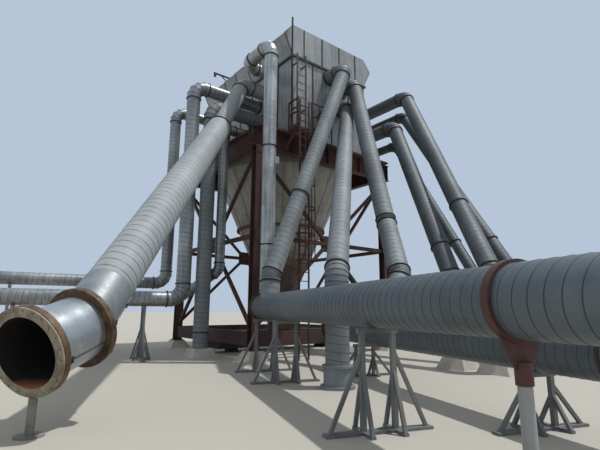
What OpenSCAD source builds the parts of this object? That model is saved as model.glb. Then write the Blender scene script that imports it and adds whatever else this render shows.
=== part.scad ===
// Cyclone separator of a dust extraction plant, on its braced steel frame, with its ducts.
// The origin is under the pedestal of the near column. +X runs along the ladder side,
// +Y along the left side, +Z up.

/* [Frame] */
// Column spacing along the ladder side
grid_x = 6500; // [5800:50:7200]
// Column spacing along the left side
grid_y = 6200; // [5800:50:7200]
// Height of the concrete pedestals
pedestal_h = 300; // [200:10:400]
// Width of a pedestal at the ground
pedestal_base_w = 900; // [700:10:1100]
// Width of a pedestal under the column
pedestal_top_w = 480; // [420:10:600]
// Outer width of the column section
column_w = 300; // [240:10:360]
// Thickness of column flanges and webs
column_t = 22; // [12:1:40]
// Underside of the base beams
base_beam_z = 440; // [400:10:600]
// Depth of the base beams
base_beam_h = 460; // [300:10:560]
// Width of the base beams
base_beam_w = 160; // [120:5:200]
// Level of the middle ring, at its axis
mid_z = 4100; // [3600:50:4600]
// Size of the middle ring's square tube
mid_w = 140; // [100:5:180]
// Size of the diagonal tubes
brace_w = 110; // [80:5:140]
// Size of the gusset plates
gusset_w = 620; // [400:10:800]
// Thickness of the gusset plates
gusset_t = 24; // [10:1:40]
// Underside of the top girders
girder_z = 7300; // [7000:50:7600]
// Depth of the top girders
girder_h = 700; // [500:10:800]
// Flange width of the top girders
girder_w = 260; // [200:10:300]
// Overhang of the top girders past the column axes
girder_over = 400; // [300:10:500]

/* [Hopper] */
// Radius of the hopper at its top
hopper_r = 2850; // [2500:10:2950]
// Radius of the hopper at its outlet
outlet_r = 370; // [300:10:450]
// Level of the hopper outlet
outlet_z = 1650; // [1500:10:1900]
// Thickness of the clad hopper wall
hopper_wall = 40; // [20:1:80]
// Level of the hopper's joint flange
joint_z = 4950; // [4700:10:5300]
// Height of the joint flange
joint_h = 90; // [60:5:150]
// How far the joint flange stands out
joint_out = 130; // [80:5:200]

/* [Outlet] */
// Radius of the rotary valve's drum
valve_r = 330; // [250:10:380]
// Length of the rotary valve's drum
valve_len = 760; // [600:10:900]
// Width of the discharge trough
trough_w = 900; // [700:10:1200]
// Height of the discharge trough
trough_h = 620; // [400:10:700]
// Level of the trough's underside
trough_z = 160; // [120:10:300]

/* [Housing] */
// Width of the housing
housing_w = 3900; // [3400:50:4400]
// Length of the housing
housing_l = 6800; // [6400:50:7200]
// Height of the housing walls
housing_h = 3200; // [2800:50:3600]
// How far the hood flares past the walls
flare = 400; // [200:10:600]
// Height of the flared part of the hood
flare_h = 800; // [600:10:1000]
// Height of the sloped part of the hood above the flare
slope_h = 480; // [300:10:700]
// Width of one housing panel
panel_w = 950; // [700:10:1200]
// Width of a seam batten
batten_w = 50; // [30:1:80]
// Depth of a seam batten
batten_t = 30; // [15:1:60]
// Depth of the ledge band under the hood
ledge_t = 60; // [40:1:100]
// Height of the ledge band under the hood
ledge_h = 90; // [60:5:140]

/* [Access] */
// Depth of the service platform
platform_d = 650; // [600:10:680]
// Length of the service platform
platform_l = 1500; // [1400:10:1600]
// Thickness of the platform floor
platform_t = 60; // [40:1:100]
// Distance from the housing's left wall to the platform
platform_x = -250; // [-400:10:-100]
// Height of the railing
rail_h = 1100; // [1000:10:1200]
// Size of the railing tubes
rail_w = 45; // [30:1:60]
// Width of the ladders
ladder_w = 450; // [400:10:550]
// Rung spacing of the ladders
rung_pitch = 300; // [250:10:350]
// Radius of the ladder cage
cage_r = 380; // [350:10:450]
// Distance between the cage hoops
hoop_pitch = 900; // [600:50:1200]
// Height of the roof mast above the hood
mast_up = 180; // [100:10:400]

/* [Ducts] */
// Radius of the large branch ducts
branch_r = 275; // [240:5:300]
// Radius of the duct that comes down onto the first header
main_branch_r = 260; // [240:5:280]
// Radius of the outermost branch duct
five_r = 210; // [180:5:230]
// Radius of the corner riser
corner_r = 230; // [200:5:250]
// Radius of the first left riser
riser_r = 250; // [200:5:260]
// Radius of the second left riser
riser_two_r = 225; // [200:5:260]
// Radius of the third left riser
riser_three_r = 265; // [220:5:270]
// Radius of the front duct above its reducer
front_top_r = 290; // [260:5:320]
// Radius of the small branch ducts
small_r = 180; // [150:5:200]
// Radius of the header ducts
header_r = 330; // [310:5:350]
// Radius of the long front duct
front_r = 400; // [340:5:420]
// Height of the header ducts' axis
header_z = 1690; // [1600:10:1800]
// How far a joint ring stands out from its duct
ring_out = 45; // [25:1:80]
// Length of a joint ring
ring_len = 60; // [30:1:100]
// Bend radius of an elbow as a share of the duct's radius
bend_share = 1.9; // [1.6:0.1:2.2]
// Gores in an elbow
gores = 4; // [2:1:6]

// Height of the second header's axis
header_two_z = 1100; // [1000:10:1200]
// Length of the first header
header_one_l = 10600; // [10200:50:10900]
// Length of the second header
header_two_l = 8400; // [8100:50:8800]
// Distance from the first header's start to its saddle
saddle_x = 9050; // [8800:50:9300]
// How far along the first header its branch comes in
tap_one_x = 800; // [700:20:900]
// How far along the second header its branch comes in
tap_two_x = 3300; // [3100:20:3500]
// Width of the clamp round the header on the saddle post
saddle_band = 90; // [60:5:140]
// Length of the saddle plate below the header
saddle_drop = 240; // [200:10:280]
// Length of the collar between the saddle plate and its post
saddle_collar = 130; // [80:10:180]
// Distances from the first header's start to its stands
stand_x = [400, 2300, 6550]; // [200:50:7000]
// Distances from the second header's start to its stands
stand_two_x = [2000, 7200]; // [1500:50:7800]
// Width of a duct stand's crossbar
stand_w = 620; // [500:10:900]
// Width of a duct stand's foot
stand_foot_w = 1600; // [1200:10:1800]
// Size of a stand's legs
stand_bar = 70; // [50:5:90]
// Radius of a saddle's post
post_r = 60; // [50:5:80]
// Radius of the open spool
spool_r = 485; // [450:5:500]
// Wall of the open spool
spool_wall = 8; // [5:1:20]
// How far the flanges of the open spool stand out
spool_flange = 120; // [90:5:140]

/* [Hidden] */

seat = 0.3;
centre = [grid_x / 2, grid_y / 2];
base_beam_top = base_beam_z + base_beam_h;
girder_top = girder_z + girder_h;
hopper_top = girder_z - seat;
floor_t = 80;
floor_z = girder_top + seat;
body_z = floor_z + floor_t + seat;
body_top = body_z + housing_h;
hood_z = body_top + seat;
hood_top = hood_z + flare_h + slope_h;
wall_left = centre[0] - housing_w / 2;
wall_right = centre[0] + housing_w / 2;
wall_front = centre[1] - housing_l / 2;
wall_rear = centre[1] + housing_l / 2;
elbow_sides = 24;
cuff = 60;

function unit(v) = v / norm(v);
function heading(p, i) = unit(p[i + 1] - p[i]);
function turn(p, i) = acos(min(1, max(-1, heading(p, i - 1) * heading(p, i))));
function inner(p, i) = i > 0 && i < len(p) - 1;
function setback(p, i, bend) = inner(p, i) ? bend * tan(turn(p, i) / 2) : 0;

module along(a, b) {
    v = b - a;
    translate(a) rotate([0, acos(v[2] / norm(v)), atan2(v[1], v[0])]) children();
}

module bar(a, b, w, h) {
    along(a, b) translate([-w / 2, -h / 2, 0]) cube([w, h, norm(b - a)]);
}

module rod(a, b, r) {
    along(a, b) cylinder(h = norm(b - a), r = r, $fn = 48);
}

// A ring round a duct, with its middle at the point a and its axis towards b
module joint_ring(a, b, r) {
    along(a, b) translate([0, 0, -ring_len / 2]) cylinder(h = ring_len, r = r + ring_out, $fn = 48);
}

// A gored elbow at the corner c, from direction d1 to direction d2
module elbow(c, d1, d2, bend, r) {
    phi = acos(min(1, max(-1, d1 * d2)));
    side = (d2 - d1 * cos(phi)) / sin(phi);
    axle = cross(d1, d2) / sin(phi);
    back = bend * tan(phi / 2);
    hub = c - d1 * back + side * bend;
    half = phi / (2 * gores);
    sleeve = (r + 4) / cos(180 / elbow_sides);
    spokes = concat([[0, 1, -cuff], [0, 1, 0]],
        [for (k = [0:gores - 1]) [half * (2 * k + 1), 1 / cos(half), 0]],
        [[phi, 1, 0], [phi, 1, cuff]]);
    points = [for (s = spokes) let (out = d1 * sin(s[0]) - side * cos(s[0]))
        for (j = [0:elbow_sides - 1]) let (t = 360 * j / elbow_sides)
        hub + out * (bend + sleeve * cos(t)) * s[1] + axle * sleeve * sin(t)
            + (d1 * cos(s[0]) + side * sin(s[0])) * s[2]];
    last = (len(spokes) - 1) * elbow_sides;
    sides = [for (k = [0:len(spokes) - 2]) for (j = [0:elbow_sides - 1])
        let (n = (j + 1) % elbow_sides, a = k * elbow_sides)
        [a + j, a + n, a + elbow_sides + n, a + elbow_sides + j]];
    caps = [[for (j = [elbow_sides - 1:-1:0]) j], [for (j = [0:elbow_sides - 1]) last + j]];
    polyhedron(points = points, faces = concat(sides, caps), convexity = 4);
}

// A round duct along the corners p, with gored elbows and a joint ring at each elbow's ends
module duct(p, r) {
    bend = r * bend_share;
    for (i = [0:len(p) - 2]) {
        d = heading(p, i);
        rod(p[i] + d * setback(p, i, bend), p[i + 1] - d * setback(p, i + 1, bend), r);
    }
    for (i = [1:1:len(p) - 2]) {
        elbow(p[i], heading(p, i - 1), heading(p, i), bend, r);
        reach = setback(p, i, bend) + cuff;
        joint_ring(p[i] - heading(p, i - 1) * reach, p[i], r);
        joint_ring(p[i] + heading(p, i) * reach, p[i + 1], r);
    }
}

// Routes of the ducts, each from the housing to its lower end
header_one_start = [-927, -1914, header_z];
header_dir = unit([-325, -946, 0]);
header_one_end = header_one_start + header_dir * header_one_l;
header_two_start = [1175, -2554, header_two_z];
header_two_end = header_two_start + header_dir * header_two_l;
saddle_at = header_one_start + header_dir * saddle_x;
// Where the front duct bends, where it meets the open spool, and the spool's mouth
front_duct_bend = [-1300, 490, 7800];
spool_joint = [-6220, -5120, 1330];
spool_mouth = [-6950, -5650, 1040];
foot_top = pedestal_h + seat;
branch_one_route = [[3100, wall_front - seat, 10900], [3100, wall_front - 1000, 10900],
    [-1080, -2550, 2500], header_one_start + header_dir * tap_one_x];
branch_two_route = [[3800, wall_front - seat, 10550], [3800, wall_front - 750, 10550],
    [2030, -4010, 4180], [1150, -5150, 2500], header_two_start + header_dir * tap_two_x];
branch_three_route = [[3750, wall_front - seat, 9650], [3750, wall_front - 420, 9650],
    [-1200, -5300, 2350], [-1200, -5300, seat]];
branch_four_route = [[wall_right + seat, 3400, 10950], [6900, 3400, 10950], [6900, -1200, 10950],
    [3700, -6270, 2600], [3700, -6270, foot_top]];
branch_five_route = [[wall_right + seat, 4900, 10400], [7450, 4900, 10400], [7450, -600, 10400],
    [5500, -6000, 2700], [5500, -6000, foot_top]];
branch_six_route = [[wall_right + seat, 1200, 9200], [5900, 1200, 9200], [5900, -1300, 9200],
    [3700, -5050, 2500], [3700, -5050, foot_top]];
branch_seven_route = [[wall_right + seat, 2200, 8700], [6600, 2200, 8700], [6600, -800, 8700],
    [5300, -4850, 2700], [5300, -4850, foot_top]];
corner_riser_route = [[wall_left - seat, 950, 10900], [-50, 950, 10900], [-50, -800, 10900],
    [-50, -800, header_z], header_one_start - header_dir * 350, header_one_start - header_dir * seat];
front_duct_top = [[wall_left - seat, 1500, 10350], [150, 1500, 10350], front_duct_bend];
front_duct_low = [front_duct_bend, spool_joint];
spool_route = [spool_joint, spool_mouth];
left_riser_one_route = [[wall_left - seat, 2100, 9980], [-1600, 2100, 9980], [-1600, 2100, 1950],
    [-7200, 3107, 1950]];
left_riser_two_route = [[wall_left - seat, 5100, 10200], [-1100, 5100, 10200], [-1100, 5100, 2650],
    [-7200, 5903, 2650]];
left_riser_three_route = [[wall_left - seat, 1900, 9250], [-950, 1900, 9250], [-950, 1900, foot_top]];
left_riser_four_route = [[wall_left - seat, 1750, 8450], [-420, 1750, 8450], [-420, 1750, 3000],
    [-1250, 3450, 1950]];
duct_foot_at = [branch_four_route[4], branch_five_route[4], branch_six_route[4],
    branch_seven_route[4], left_riser_three_route[2]];
// Distances from a left riser's lower corner to the stands under its run
riser_stand_x = [[1250, 4900], [2100, 5300]];
// Each duct that enters the housing: its first two corners and its radius
inlets = [[branch_one_route, main_branch_r], [branch_two_route, branch_r],
    [branch_three_route, branch_r - 15], [branch_four_route, branch_r], [branch_five_route, five_r],
    [branch_six_route, branch_r], [branch_seven_route, small_r], [corner_riser_route, corner_r],
    [front_duct_top, front_top_r], [left_riser_one_route, riser_r], [left_riser_two_route, riser_two_r],
    [left_riser_three_route, riser_three_r], [left_riser_four_route, small_r]];

module pedestals() {
    color([0.62, 0.61, 0.58])
    for (x = [0, grid_x], y = [0, grid_y]) translate([x, y, 0])
        linear_extrude(height = pedestal_h, scale = pedestal_top_w / pedestal_base_w)
            square(pedestal_base_w, center = true);
}

module column_section() {
    square([column_t, column_w - 2 * column_t], center = true);
    for (s = [-1, 1]) translate([0, s * (column_w - column_t) / 2])
        square([column_w, column_t], center = true);
}

module columns() {
    color([0.36, 0.17, 0.14])
    for (x = [0, grid_x], y = [0, grid_y]) translate([x, y, pedestal_h + seat])
        linear_extrude(height = girder_z - seat - pedestal_h - seat) column_section();
}

// Distance from a column's axis to the face that a beam meets: its web along X, its flange along Y
web_face = column_t / 2 + seat;
flange_face = column_w / 2 + seat;

module base_beams() {
    color([0.33, 0.16, 0.13]) {
        gap = flange_face;
        for (y = [0, grid_y]) translate([web_face, y - base_beam_w / 2, base_beam_z])
            cube([grid_x - 2 * web_face, base_beam_w, base_beam_h]);
        for (x = [0, grid_x]) translate([x - base_beam_w / 2, gap, base_beam_z])
            cube([base_beam_w, grid_y - 2 * gap, base_beam_h]);
    }
}

module middle_ring() {
    color([0.30, 0.14, 0.12]) {
        gap = flange_face;
        for (y = [0, grid_y]) translate([web_face, y - mid_w / 2, mid_z - mid_w / 2])
            cube([grid_x - 2 * web_face, mid_w, mid_w]);
        for (x = [0, grid_x]) translate([x - mid_w / 2, gap, mid_z - mid_w / 2])
            cube([mid_w, grid_y - 2 * gap, mid_w]);
    }
}

// Half-diagonals of one side from its column ends to the gusset at the middle of the side
module side_bracing(p, q, reach) {
    mid = (p + q) / 2;
    d = unit(q - p);
    low = base_beam_top + brace_w;
    high = girder_z - 200;
    level = [0, 0, mid_z];
    translate(mid + level - d * gusset_w / 2)
        rotate([0, 0, atan2(d[1], d[0])]) difference() {
            translate([0, -gusset_t / 2, -gusset_w / 2]) cube([gusset_w, gusset_t, gusset_w]);
            translate([-1, -gusset_w, -mid_w / 2 - seat])
                cube([gusset_w + 2, 2 * gusset_w, mid_w + 2 * seat]);
        }
    for (end = [[p + d * reach, 1], [q - d * reach, -1]]) for (z = [low, high]) {
        side = z < mid_z ? -1 : 1;
        bar(end[0] + [0, 0, z], mid - d * end[1] * gusset_w / 4 + [0, 0, mid_z + side * gusset_w / 4],
            brace_w, brace_w);
    }
}

module bracing(p, q, reach) {
    d = unit(q - p);
    intersection() {
        side_bracing(p, q, reach);
        translate(p + d * reach) rotate([0, 0, atan2(d[1], d[0])])
            translate([0, -brace_w, 0]) cube([norm(q - p) - 2 * reach, 2 * brace_w, girder_z]);
    }
}

module ladder_side_bracing() {
    color([0.30, 0.14, 0.12]) bracing([0, 0, 0], [grid_x, 0, 0], web_face);
}

module left_side_bracing() {
    color([0.30, 0.14, 0.12]) bracing([0, 0, 0], [0, grid_y, 0], flange_face);
}

module rear_side_bracing() {
    color([0.30, 0.14, 0.12]) bracing([0, grid_y, 0], [grid_x, grid_y, 0], web_face);
}

module right_side_bracing() {
    color([0.30, 0.14, 0.12]) bracing([grid_x, 0, 0], [grid_x, grid_y, 0], flange_face);
}

module girder_section() {
    square([column_t, girder_h - 2 * column_t], center = true);
    for (s = [-1, 1]) translate([0, s * (girder_h - column_t) / 2])
        square([girder_w, column_t], center = true);
}

module top_girders() {
    color([0.35, 0.16, 0.12]) {
        long_x = grid_x + 2 * girder_over;
        for (y = [0, grid_y]) translate([-girder_over, y, girder_z + girder_h / 2])
            rotate([90, 0, 90]) linear_extrude(height = long_x) girder_section();
        gap = girder_w / 2;
        for (x = [0, grid_x]) translate([x, gap, girder_z + girder_h / 2])
            rotate([90, 0, 180]) linear_extrude(height = grid_y - 2 * gap) girder_section();
    }
}

function cone_r(z) = outlet_r + (hopper_r - outlet_r) * (z - outlet_z) / (hopper_top - outlet_z);

module hopper_cone() {
    color([0.55, 0.54, 0.50])
    translate([centre[0], centre[1], 0]) rotate_extrude($fn = 96) polygon([
        [outlet_r - hopper_wall, outlet_z], [outlet_r, outlet_z],
        [hopper_r, hopper_top], [hopper_r, girder_top], [hopper_r - hopper_wall, girder_top],
        [hopper_r - hopper_wall, hopper_top]]);
}

module hopper_joint() {
    color([0.45, 0.33, 0.26])
    translate([centre[0], centre[1], joint_z]) difference() {
        cylinder(h = joint_h, r = cone_r(joint_z) + joint_out, $fn = 96);
        translate([0, 0, -1]) cylinder(h = joint_h + 2, r = cone_r(joint_z + joint_h) + seat, $fn = 96);
    }
}

module rotary_valve() {
    color([0.38, 0.30, 0.27])
    translate([centre[0], centre[1], 0]) {
        drum_z = outlet_z - seat - 60 - valve_r - 60;
        translate([-valve_len / 2, 0, drum_z]) rotate([0, 90, 0])
            cylinder(h = valve_len, r = valve_r, $fn = 64);
        translate([0, 0, outlet_z - seat - 60]) cylinder(h = 60, r = outlet_r + 60, $fn = 64);
        translate([-valve_r, -valve_r, drum_z]) cube([2 * valve_r, 2 * valve_r, valve_r + 70]);
        translate([-valve_r, -valve_r, trough_z + trough_h + seat])
            cube([2 * valve_r, 2 * valve_r, drum_z - trough_z - trough_h - seat]);
    }
}

module discharge_trough() {
    color([0.17, 0.15, 0.14])
    translate([column_w / 2 + seat, centre[1] - trough_w / 2, trough_z]) {
        cube([grid_x - column_w - 2 * seat, trough_w, trough_h]);
        for (x = [700, grid_x - column_w - 900]) translate([x, 100, -trough_z])
            cube([200, trough_w - 200, trough_z + 1]);
    }
}

module housing_floor() {
    color([0.40, 0.38, 0.36])
    translate([-girder_w / 2, wall_front, floor_z])
        cube([grid_x + girder_w, housing_l, floor_t]);
}

module housing_body() {
    color([0.60, 0.61, 0.61])
    translate([wall_left, wall_front, body_z]) cube([housing_w, housing_l, housing_h]);
}

module seam_strips() {
    color([0.25, 0.26, 0.27]) {
        cols = floor(housing_w / panel_w);
        rows = floor(housing_l / panel_w);
        run = housing_h - ledge_h;
        for (k = [1:cols - 1], y = [wall_front - batten_t - seat, wall_rear + seat])
            translate([wall_left + housing_w * k / cols - batten_w / 2, y, body_z])
                cube([batten_w, batten_t, run]);
        for (k = [1:rows - 1], x = [wall_left - batten_t - seat, wall_right + seat])
            translate([x, wall_front + housing_l * k / rows - batten_w / 2, body_z])
                cube([batten_t, batten_w, run]);
        difference() {
            translate([wall_left - ledge_t, wall_front - ledge_t, body_top - ledge_h])
                cube([housing_w + 2 * ledge_t, housing_l + 2 * ledge_t, ledge_h]);
            translate([wall_left - seat, wall_front - seat, body_top - ledge_h - 1])
                cube([housing_w + 2 * seat, housing_l + 2 * seat, ledge_h + 2]);
        }
    }
}

module housing_seams() {
    difference() {
        seam_strips();
        for (k = inlets) {
            d = heading(k[0], 0);
            rod(k[0][0] - d * 5, k[0][0] + d * 200, k[1] + ring_out + 2);
        }
    }
}

module hood() {
    color([0.62, 0.63, 0.63])
    translate([centre[0], wall_rear, hood_z]) rotate([90, 0, 0]) linear_extrude(height = housing_l)
        polygon([[-housing_w / 2, 0], [housing_w / 2, 0], [housing_w / 2 + flare, flare_h],
            [housing_w / 2, flare_h + slope_h], [-housing_w / 2, flare_h + slope_h],
            [-housing_w / 2 - flare, flare_h]]);
}

module roof_mast() {
    color([0.30, 0.30, 0.30]) {
        off = 150;
        x = wall_left - off;
        y = wall_front - 140;
        foot = girder_top + platform_t + 2 * seat;
        rod([x, y, foot], [x, y, hood_top + mast_up], 35);
        bar([x, y, body_z + 600], [x + off - seat, y + 140 + 40, body_z + 600], 40, 40);
        bar([x, y, body_z + 2400], [x + off - seat, y + 140 + 40, body_z + 2400], 40, 40);
        translate([x - 60, y - 60, foot]) cube([120, 150, 40]);
    }
}

platform_left = wall_left + platform_x;
platform_front = wall_front - platform_d;

module platform() {
    color([0.34, 0.17, 0.14]) {
        translate([platform_left, platform_front, girder_top + seat])
            cube([platform_l, platform_d - seat - batten_t - seat, platform_t]);
        for (x = [platform_left, platform_left + platform_l - 90])
            bar([x + 45, platform_front + 80, girder_top + 30],
                [x + 45, -girder_w / 2 - seat, girder_z + 120], 80, 80);
    }
}

module platform_railing() {
    color([0.42, 0.20, 0.17]) {
        z0 = girder_top + seat + platform_t + seat;
        x0 = platform_left + rail_w / 2;
        x1 = platform_left + platform_l - rail_w / 2;
        y0 = platform_front + rail_w / 2;
        y1 = wall_front - batten_t - 2 * seat - rail_w;
        for (p = [[x0, y0], [(x0 + x1) / 2 + 300, y0], [x1, y0], [x0, y1], [x1, y1]])
            translate([p[0] - rail_w / 2, p[1] - rail_w / 2, z0]) cube([rail_w, rail_w, rail_h]);
        for (z = [rail_h / 2, rail_h - rail_w]) {
            translate([x0 + ladder_w + 200, y0 - rail_w / 2, z0 + z])
                cube([x1 - x0 - ladder_w - 200, rail_w, rail_w]);
            for (x = [x0, x1]) translate([x - rail_w / 2, y0, z0 + z]) cube([rail_w, y1 - y0, rail_w]);
        }
        translate([x0 + ladder_w + 200 - rail_w, y0 - rail_w / 2, z0]) cube([rail_w, rail_w, rail_h]);
    }
}

// A ladder with its rails and rungs, its foot at the origin, facing -Y
module ladder(height) {
    for (x = [0, ladder_w - rail_w]) translate([x, 0, 0]) cube([rail_w, rail_w, height]);
    for (z = [rung_pitch / 2:rung_pitch:height - 60])
        translate([rail_w - 1, rail_w / 2, z]) rotate([0, 90, 0])
            cylinder(h = ladder_w - 2 * rail_w + 2, r = 14, $fn = 16);
}

module cage(from, to) {
    for (z = [from:hoop_pitch:to]) translate([ladder_w / 2, 0, z]) difference() {
        cylinder(h = 50, r = cage_r, $fn = 32);
        translate([0, 0, -1]) cylinder(h = 52, r = cage_r - 12, $fn = 32);
        translate([-cage_r - 1, rail_w / 2, -1]) cube([2 * cage_r + 2, cage_r + 1, 52]);
    }
    for (a = [200, 235, 270, 305, 340]) translate([ladder_w / 2, 0, from]) rotate([0, 0, a])
        translate([cage_r - 14, -20, 0]) cube([12, 40, to - from]);
    for (z = [from:hoop_pitch:to], s = [-1, 1])
        translate([ladder_w / 2 + (s > 0 ? ladder_w / 2 - rail_w : -cage_r), 0, z])
            cube([cage_r - ladder_w / 2 + rail_w, 12, 50]);
}

module lower_ladder() {
    color([0.40, 0.20, 0.17])
    translate([platform_left + 60, platform_front - rail_w - seat, 900]) {
        ladder(girder_top + rail_h - 900);
        cage(2300, girder_top - 900 + 100);
        for (x = [0, ladder_w - rail_w]) {
            translate([x, 0, -900]) cube([rail_w, rail_w, 901]);
        }
    }
}

module upper_ladder() {
    color([0.66, 0.67, 0.67]) {
        z0 = girder_top + seat + platform_t + seat;
        translate([platform_left + 200, wall_front - batten_t - 300, z0]) {
            ladder(body_top - z0 - ledge_h);
            for (x = [0, ladder_w - rail_w], z = [900, 2700])
                translate([x, rail_w - 1, z]) cube([rail_w, 300 - rail_w + batten_t - seat, rail_w]);
        }
    }
}

module branch_one() { color([0.58, 0.62, 0.65]) difference() {
        duct(branch_one_route, main_branch_r);
        rod(header_one_start, header_one_end, header_r + seat);
    }
}
module branch_two() { color([0.58, 0.62, 0.65]) difference() {
        duct(branch_two_route, branch_r);
        rod(header_two_start, header_two_end, header_r + seat);
    }
}
module branch_three() { color([0.58, 0.62, 0.65]) duct(branch_three_route, branch_r - 15); }
module branch_four() { color([0.58, 0.62, 0.65]) duct(branch_four_route, branch_r); }
module branch_five() { color([0.58, 0.62, 0.65]) duct(branch_five_route, five_r); }
module branch_six() { color([0.58, 0.62, 0.65]) duct(branch_six_route, branch_r); }
module branch_seven() { color([0.58, 0.62, 0.65]) duct(branch_seven_route, small_r); }
module corner_riser() { color([0.64, 0.66, 0.67]) duct(corner_riser_route, corner_r); }

module front_duct() {
    last = front_duct_low[1];
    back = unit(front_duct_low[0] - last);
    spool_d = unit(spool_route[1] - spool_route[0]);
    cut = 2 * spool_r;
    color([0.62, 0.65, 0.67]) difference() {
        union() {
            duct(front_duct_top, front_top_r);
            joint_ring(front_duct_low[0], last, front_r);
            rod(front_duct_low[0], last - back * front_r, front_r);
            rod(last, last - spool_d * ring_len, spool_r + spool_flange - 10);
        }
        along(last, last + spool_d) translate([-cut, -cut, 0]) cube([2 * cut, 2 * cut, cut]);
    }
}

module open_spool() {
    d = unit(spool_route[1] - spool_route[0]);
    out = spool_r + spool_flange;
    color([0.66, 0.66, 0.64]) difference() {
        union() {
            rod(spool_route[0] + d * seat, spool_route[1], spool_r);
            rod(spool_route[0] + d * seat, spool_route[0] + d * ring_len, out);
            rod(spool_route[1] - d * ring_len, spool_route[1], out);
        }
        rod(spool_route[0] + d * ring_len, spool_route[1] + d, spool_r - spool_wall);
    }
}

module left_riser_one() { color([0.66, 0.67, 0.67]) duct(left_riser_one_route, riser_r); }
module left_riser_two() { color([0.66, 0.67, 0.67]) duct(left_riser_two_route, riser_two_r); }
module left_riser_three() { color([0.58, 0.61, 0.63]) duct(left_riser_three_route, riser_three_r); }
module left_riser_four() { color([0.66, 0.67, 0.67]) duct(left_riser_four_route, small_r); }

// A header duct from its first flange to its end flange
module header(start, end) {
    rod(start, end, header_r);
    joint_ring(start + header_dir * ring_len / 2, end, header_r);
    joint_ring(end - header_dir * ring_len / 2, end + header_dir, header_r);
}

module header_one() { color([0.50, 0.54, 0.57]) header(header_one_start, header_one_end); }
module header_two() { color([0.52, 0.55, 0.57]) header(header_two_start, header_two_end); }

function ground(p) = [p[0], p[1], 0];

module header_saddle() {
    turn_z = atan2(header_dir[1], header_dir[0]);
    translate(saddle_at) rotate([0, 0, turn_z]) {
        color([0.40, 0.18, 0.15]) {
            rotate([0, 90, 0]) difference() {
                translate([0, 0, -saddle_band / 2]) cylinder(h = saddle_band, r = header_r + 34, $fn = 64);
                translate([0, 0, -saddle_band]) cylinder(h = 2 * saddle_band, r = header_r + seat, $fn = 64);
            }
            difference() {
                translate([-12, 0, 0]) rotate([90, 0, 90]) linear_extrude(height = 24)
                    polygon([[-header_r - 30, -60], [header_r + 30, -60],
                        [post_r + 30, -header_r - saddle_drop], [-post_r - 30, -header_r - saddle_drop]]);
                rotate([0, 90, 0]) translate([0, 0, -saddle_band])
                    cylinder(h = 2 * saddle_band, r = header_r + seat, $fn = 64);
            }
            translate([0, 0, -header_r - saddle_drop - saddle_collar])
                cylinder(h = saddle_collar + 60, r = post_r + 14, $fn = 48);
        }
        color([0.62, 0.64, 0.65]) translate([0, 0, -header_z]) {
            cylinder(h = header_z - header_r - saddle_drop - saddle_collar + 1, r = post_r, $fn = 48);
            cylinder(h = 30, r = post_r * 1.8, $fn = 48);
        }
    }
}

// A trestle across the direction d under the point p of a duct
module duct_stand(p, r, d) {
    high = p[2] - r - seat;
    leg_y = stand_w / 2 - stand_bar;
    foot_y = stand_foot_w / 2;
    strut = stand_bar * 0.7;
    color([0.42, 0.45, 0.47])
    translate(ground(p)) rotate([0, 0, atan2(d[1], d[0])]) {
        translate([-stand_bar / 2, -stand_w / 2, high - stand_bar]) cube([stand_bar, stand_w, stand_bar]);
        translate([-stand_bar, -foot_y, 0]) cube([2 * stand_bar, stand_foot_w, 40]);
        for (s = [-1, 1]) {
            translate([-stand_bar / 2, s * leg_y - stand_bar / 2, 0])
                cube([stand_bar, stand_bar, high - 1]);
            bar([0, s * (foot_y - stand_bar), 20], [0, s * leg_y, high * 0.78], strut, strut);
            translate([-0.35 * foot_y, s * leg_y - stand_bar / 2, 0]) cube([0.7 * foot_y, stand_bar, 40]);
            bar([s * 0.32 * foot_y, -leg_y, 20], [0, -leg_y, high * 0.6], strut, strut);
            bar([s * 0.32 * foot_y, leg_y, 20], [0, leg_y, high * 0.6], strut, strut);
        }
    }
}

module header_stand() {
    for (x = stand_x) duct_stand(header_one_start + header_dir * x, header_r, header_dir);
}

module header_stand_two() {
    for (x = stand_two_x) duct_stand(header_two_start + header_dir * x, header_r, header_dir);
}

module riser_stands() {
    for (k = [[left_riser_one_route, riser_stand_x[0], riser_r],
            [left_riser_two_route, riser_stand_x[1], riser_two_r]]) {
        d = heading(k[0], 2);
        for (x = k[1]) duct_stand(k[0][2] + d * x, k[2], d);
    }
}

// The flanged socket in the ground that the third branch duct stands in
module header_leg() {
    at = branch_three_route[3];
    r = branch_r - 15;
    color([0.55, 0.58, 0.60]) translate(ground(at)) difference() {
        union() {
            cylinder(h = 60, r = r + 110, $fn = 64);
            cylinder(h = 420, r = r + 40, $fn = 64);
            translate([0, 0, 420]) cylinder(h = 50, r = r + 70, $fn = 64);
        }
        translate([0, 0, -1]) cylinder(h = 480, r = r + seat, $fn = 64);
    }
}

module spool_stand() {
    d = unit(spool_route[0] - spool_route[1]);
    level = norm(ground(d));
    out = spool_r + spool_flange;
    foot = spool_mouth + d * (d[2] * out / level + ring_len / 2);
    under = spool_mouth[2] - level * out - seat;
    color([0.45, 0.46, 0.46]) {
        rod(ground(foot), ground(foot) + [0, 0, under], 55);
        rod(ground(foot), ground(foot) + [0, 0, 20], 180);
    }
}

module duct_feet() {
    color([0.66, 0.65, 0.62])
    for (p = duct_foot_at) translate(ground(p))
        linear_extrude(height = pedestal_h, scale = 0.7) square(pedestal_base_w, center = true);
}

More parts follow.
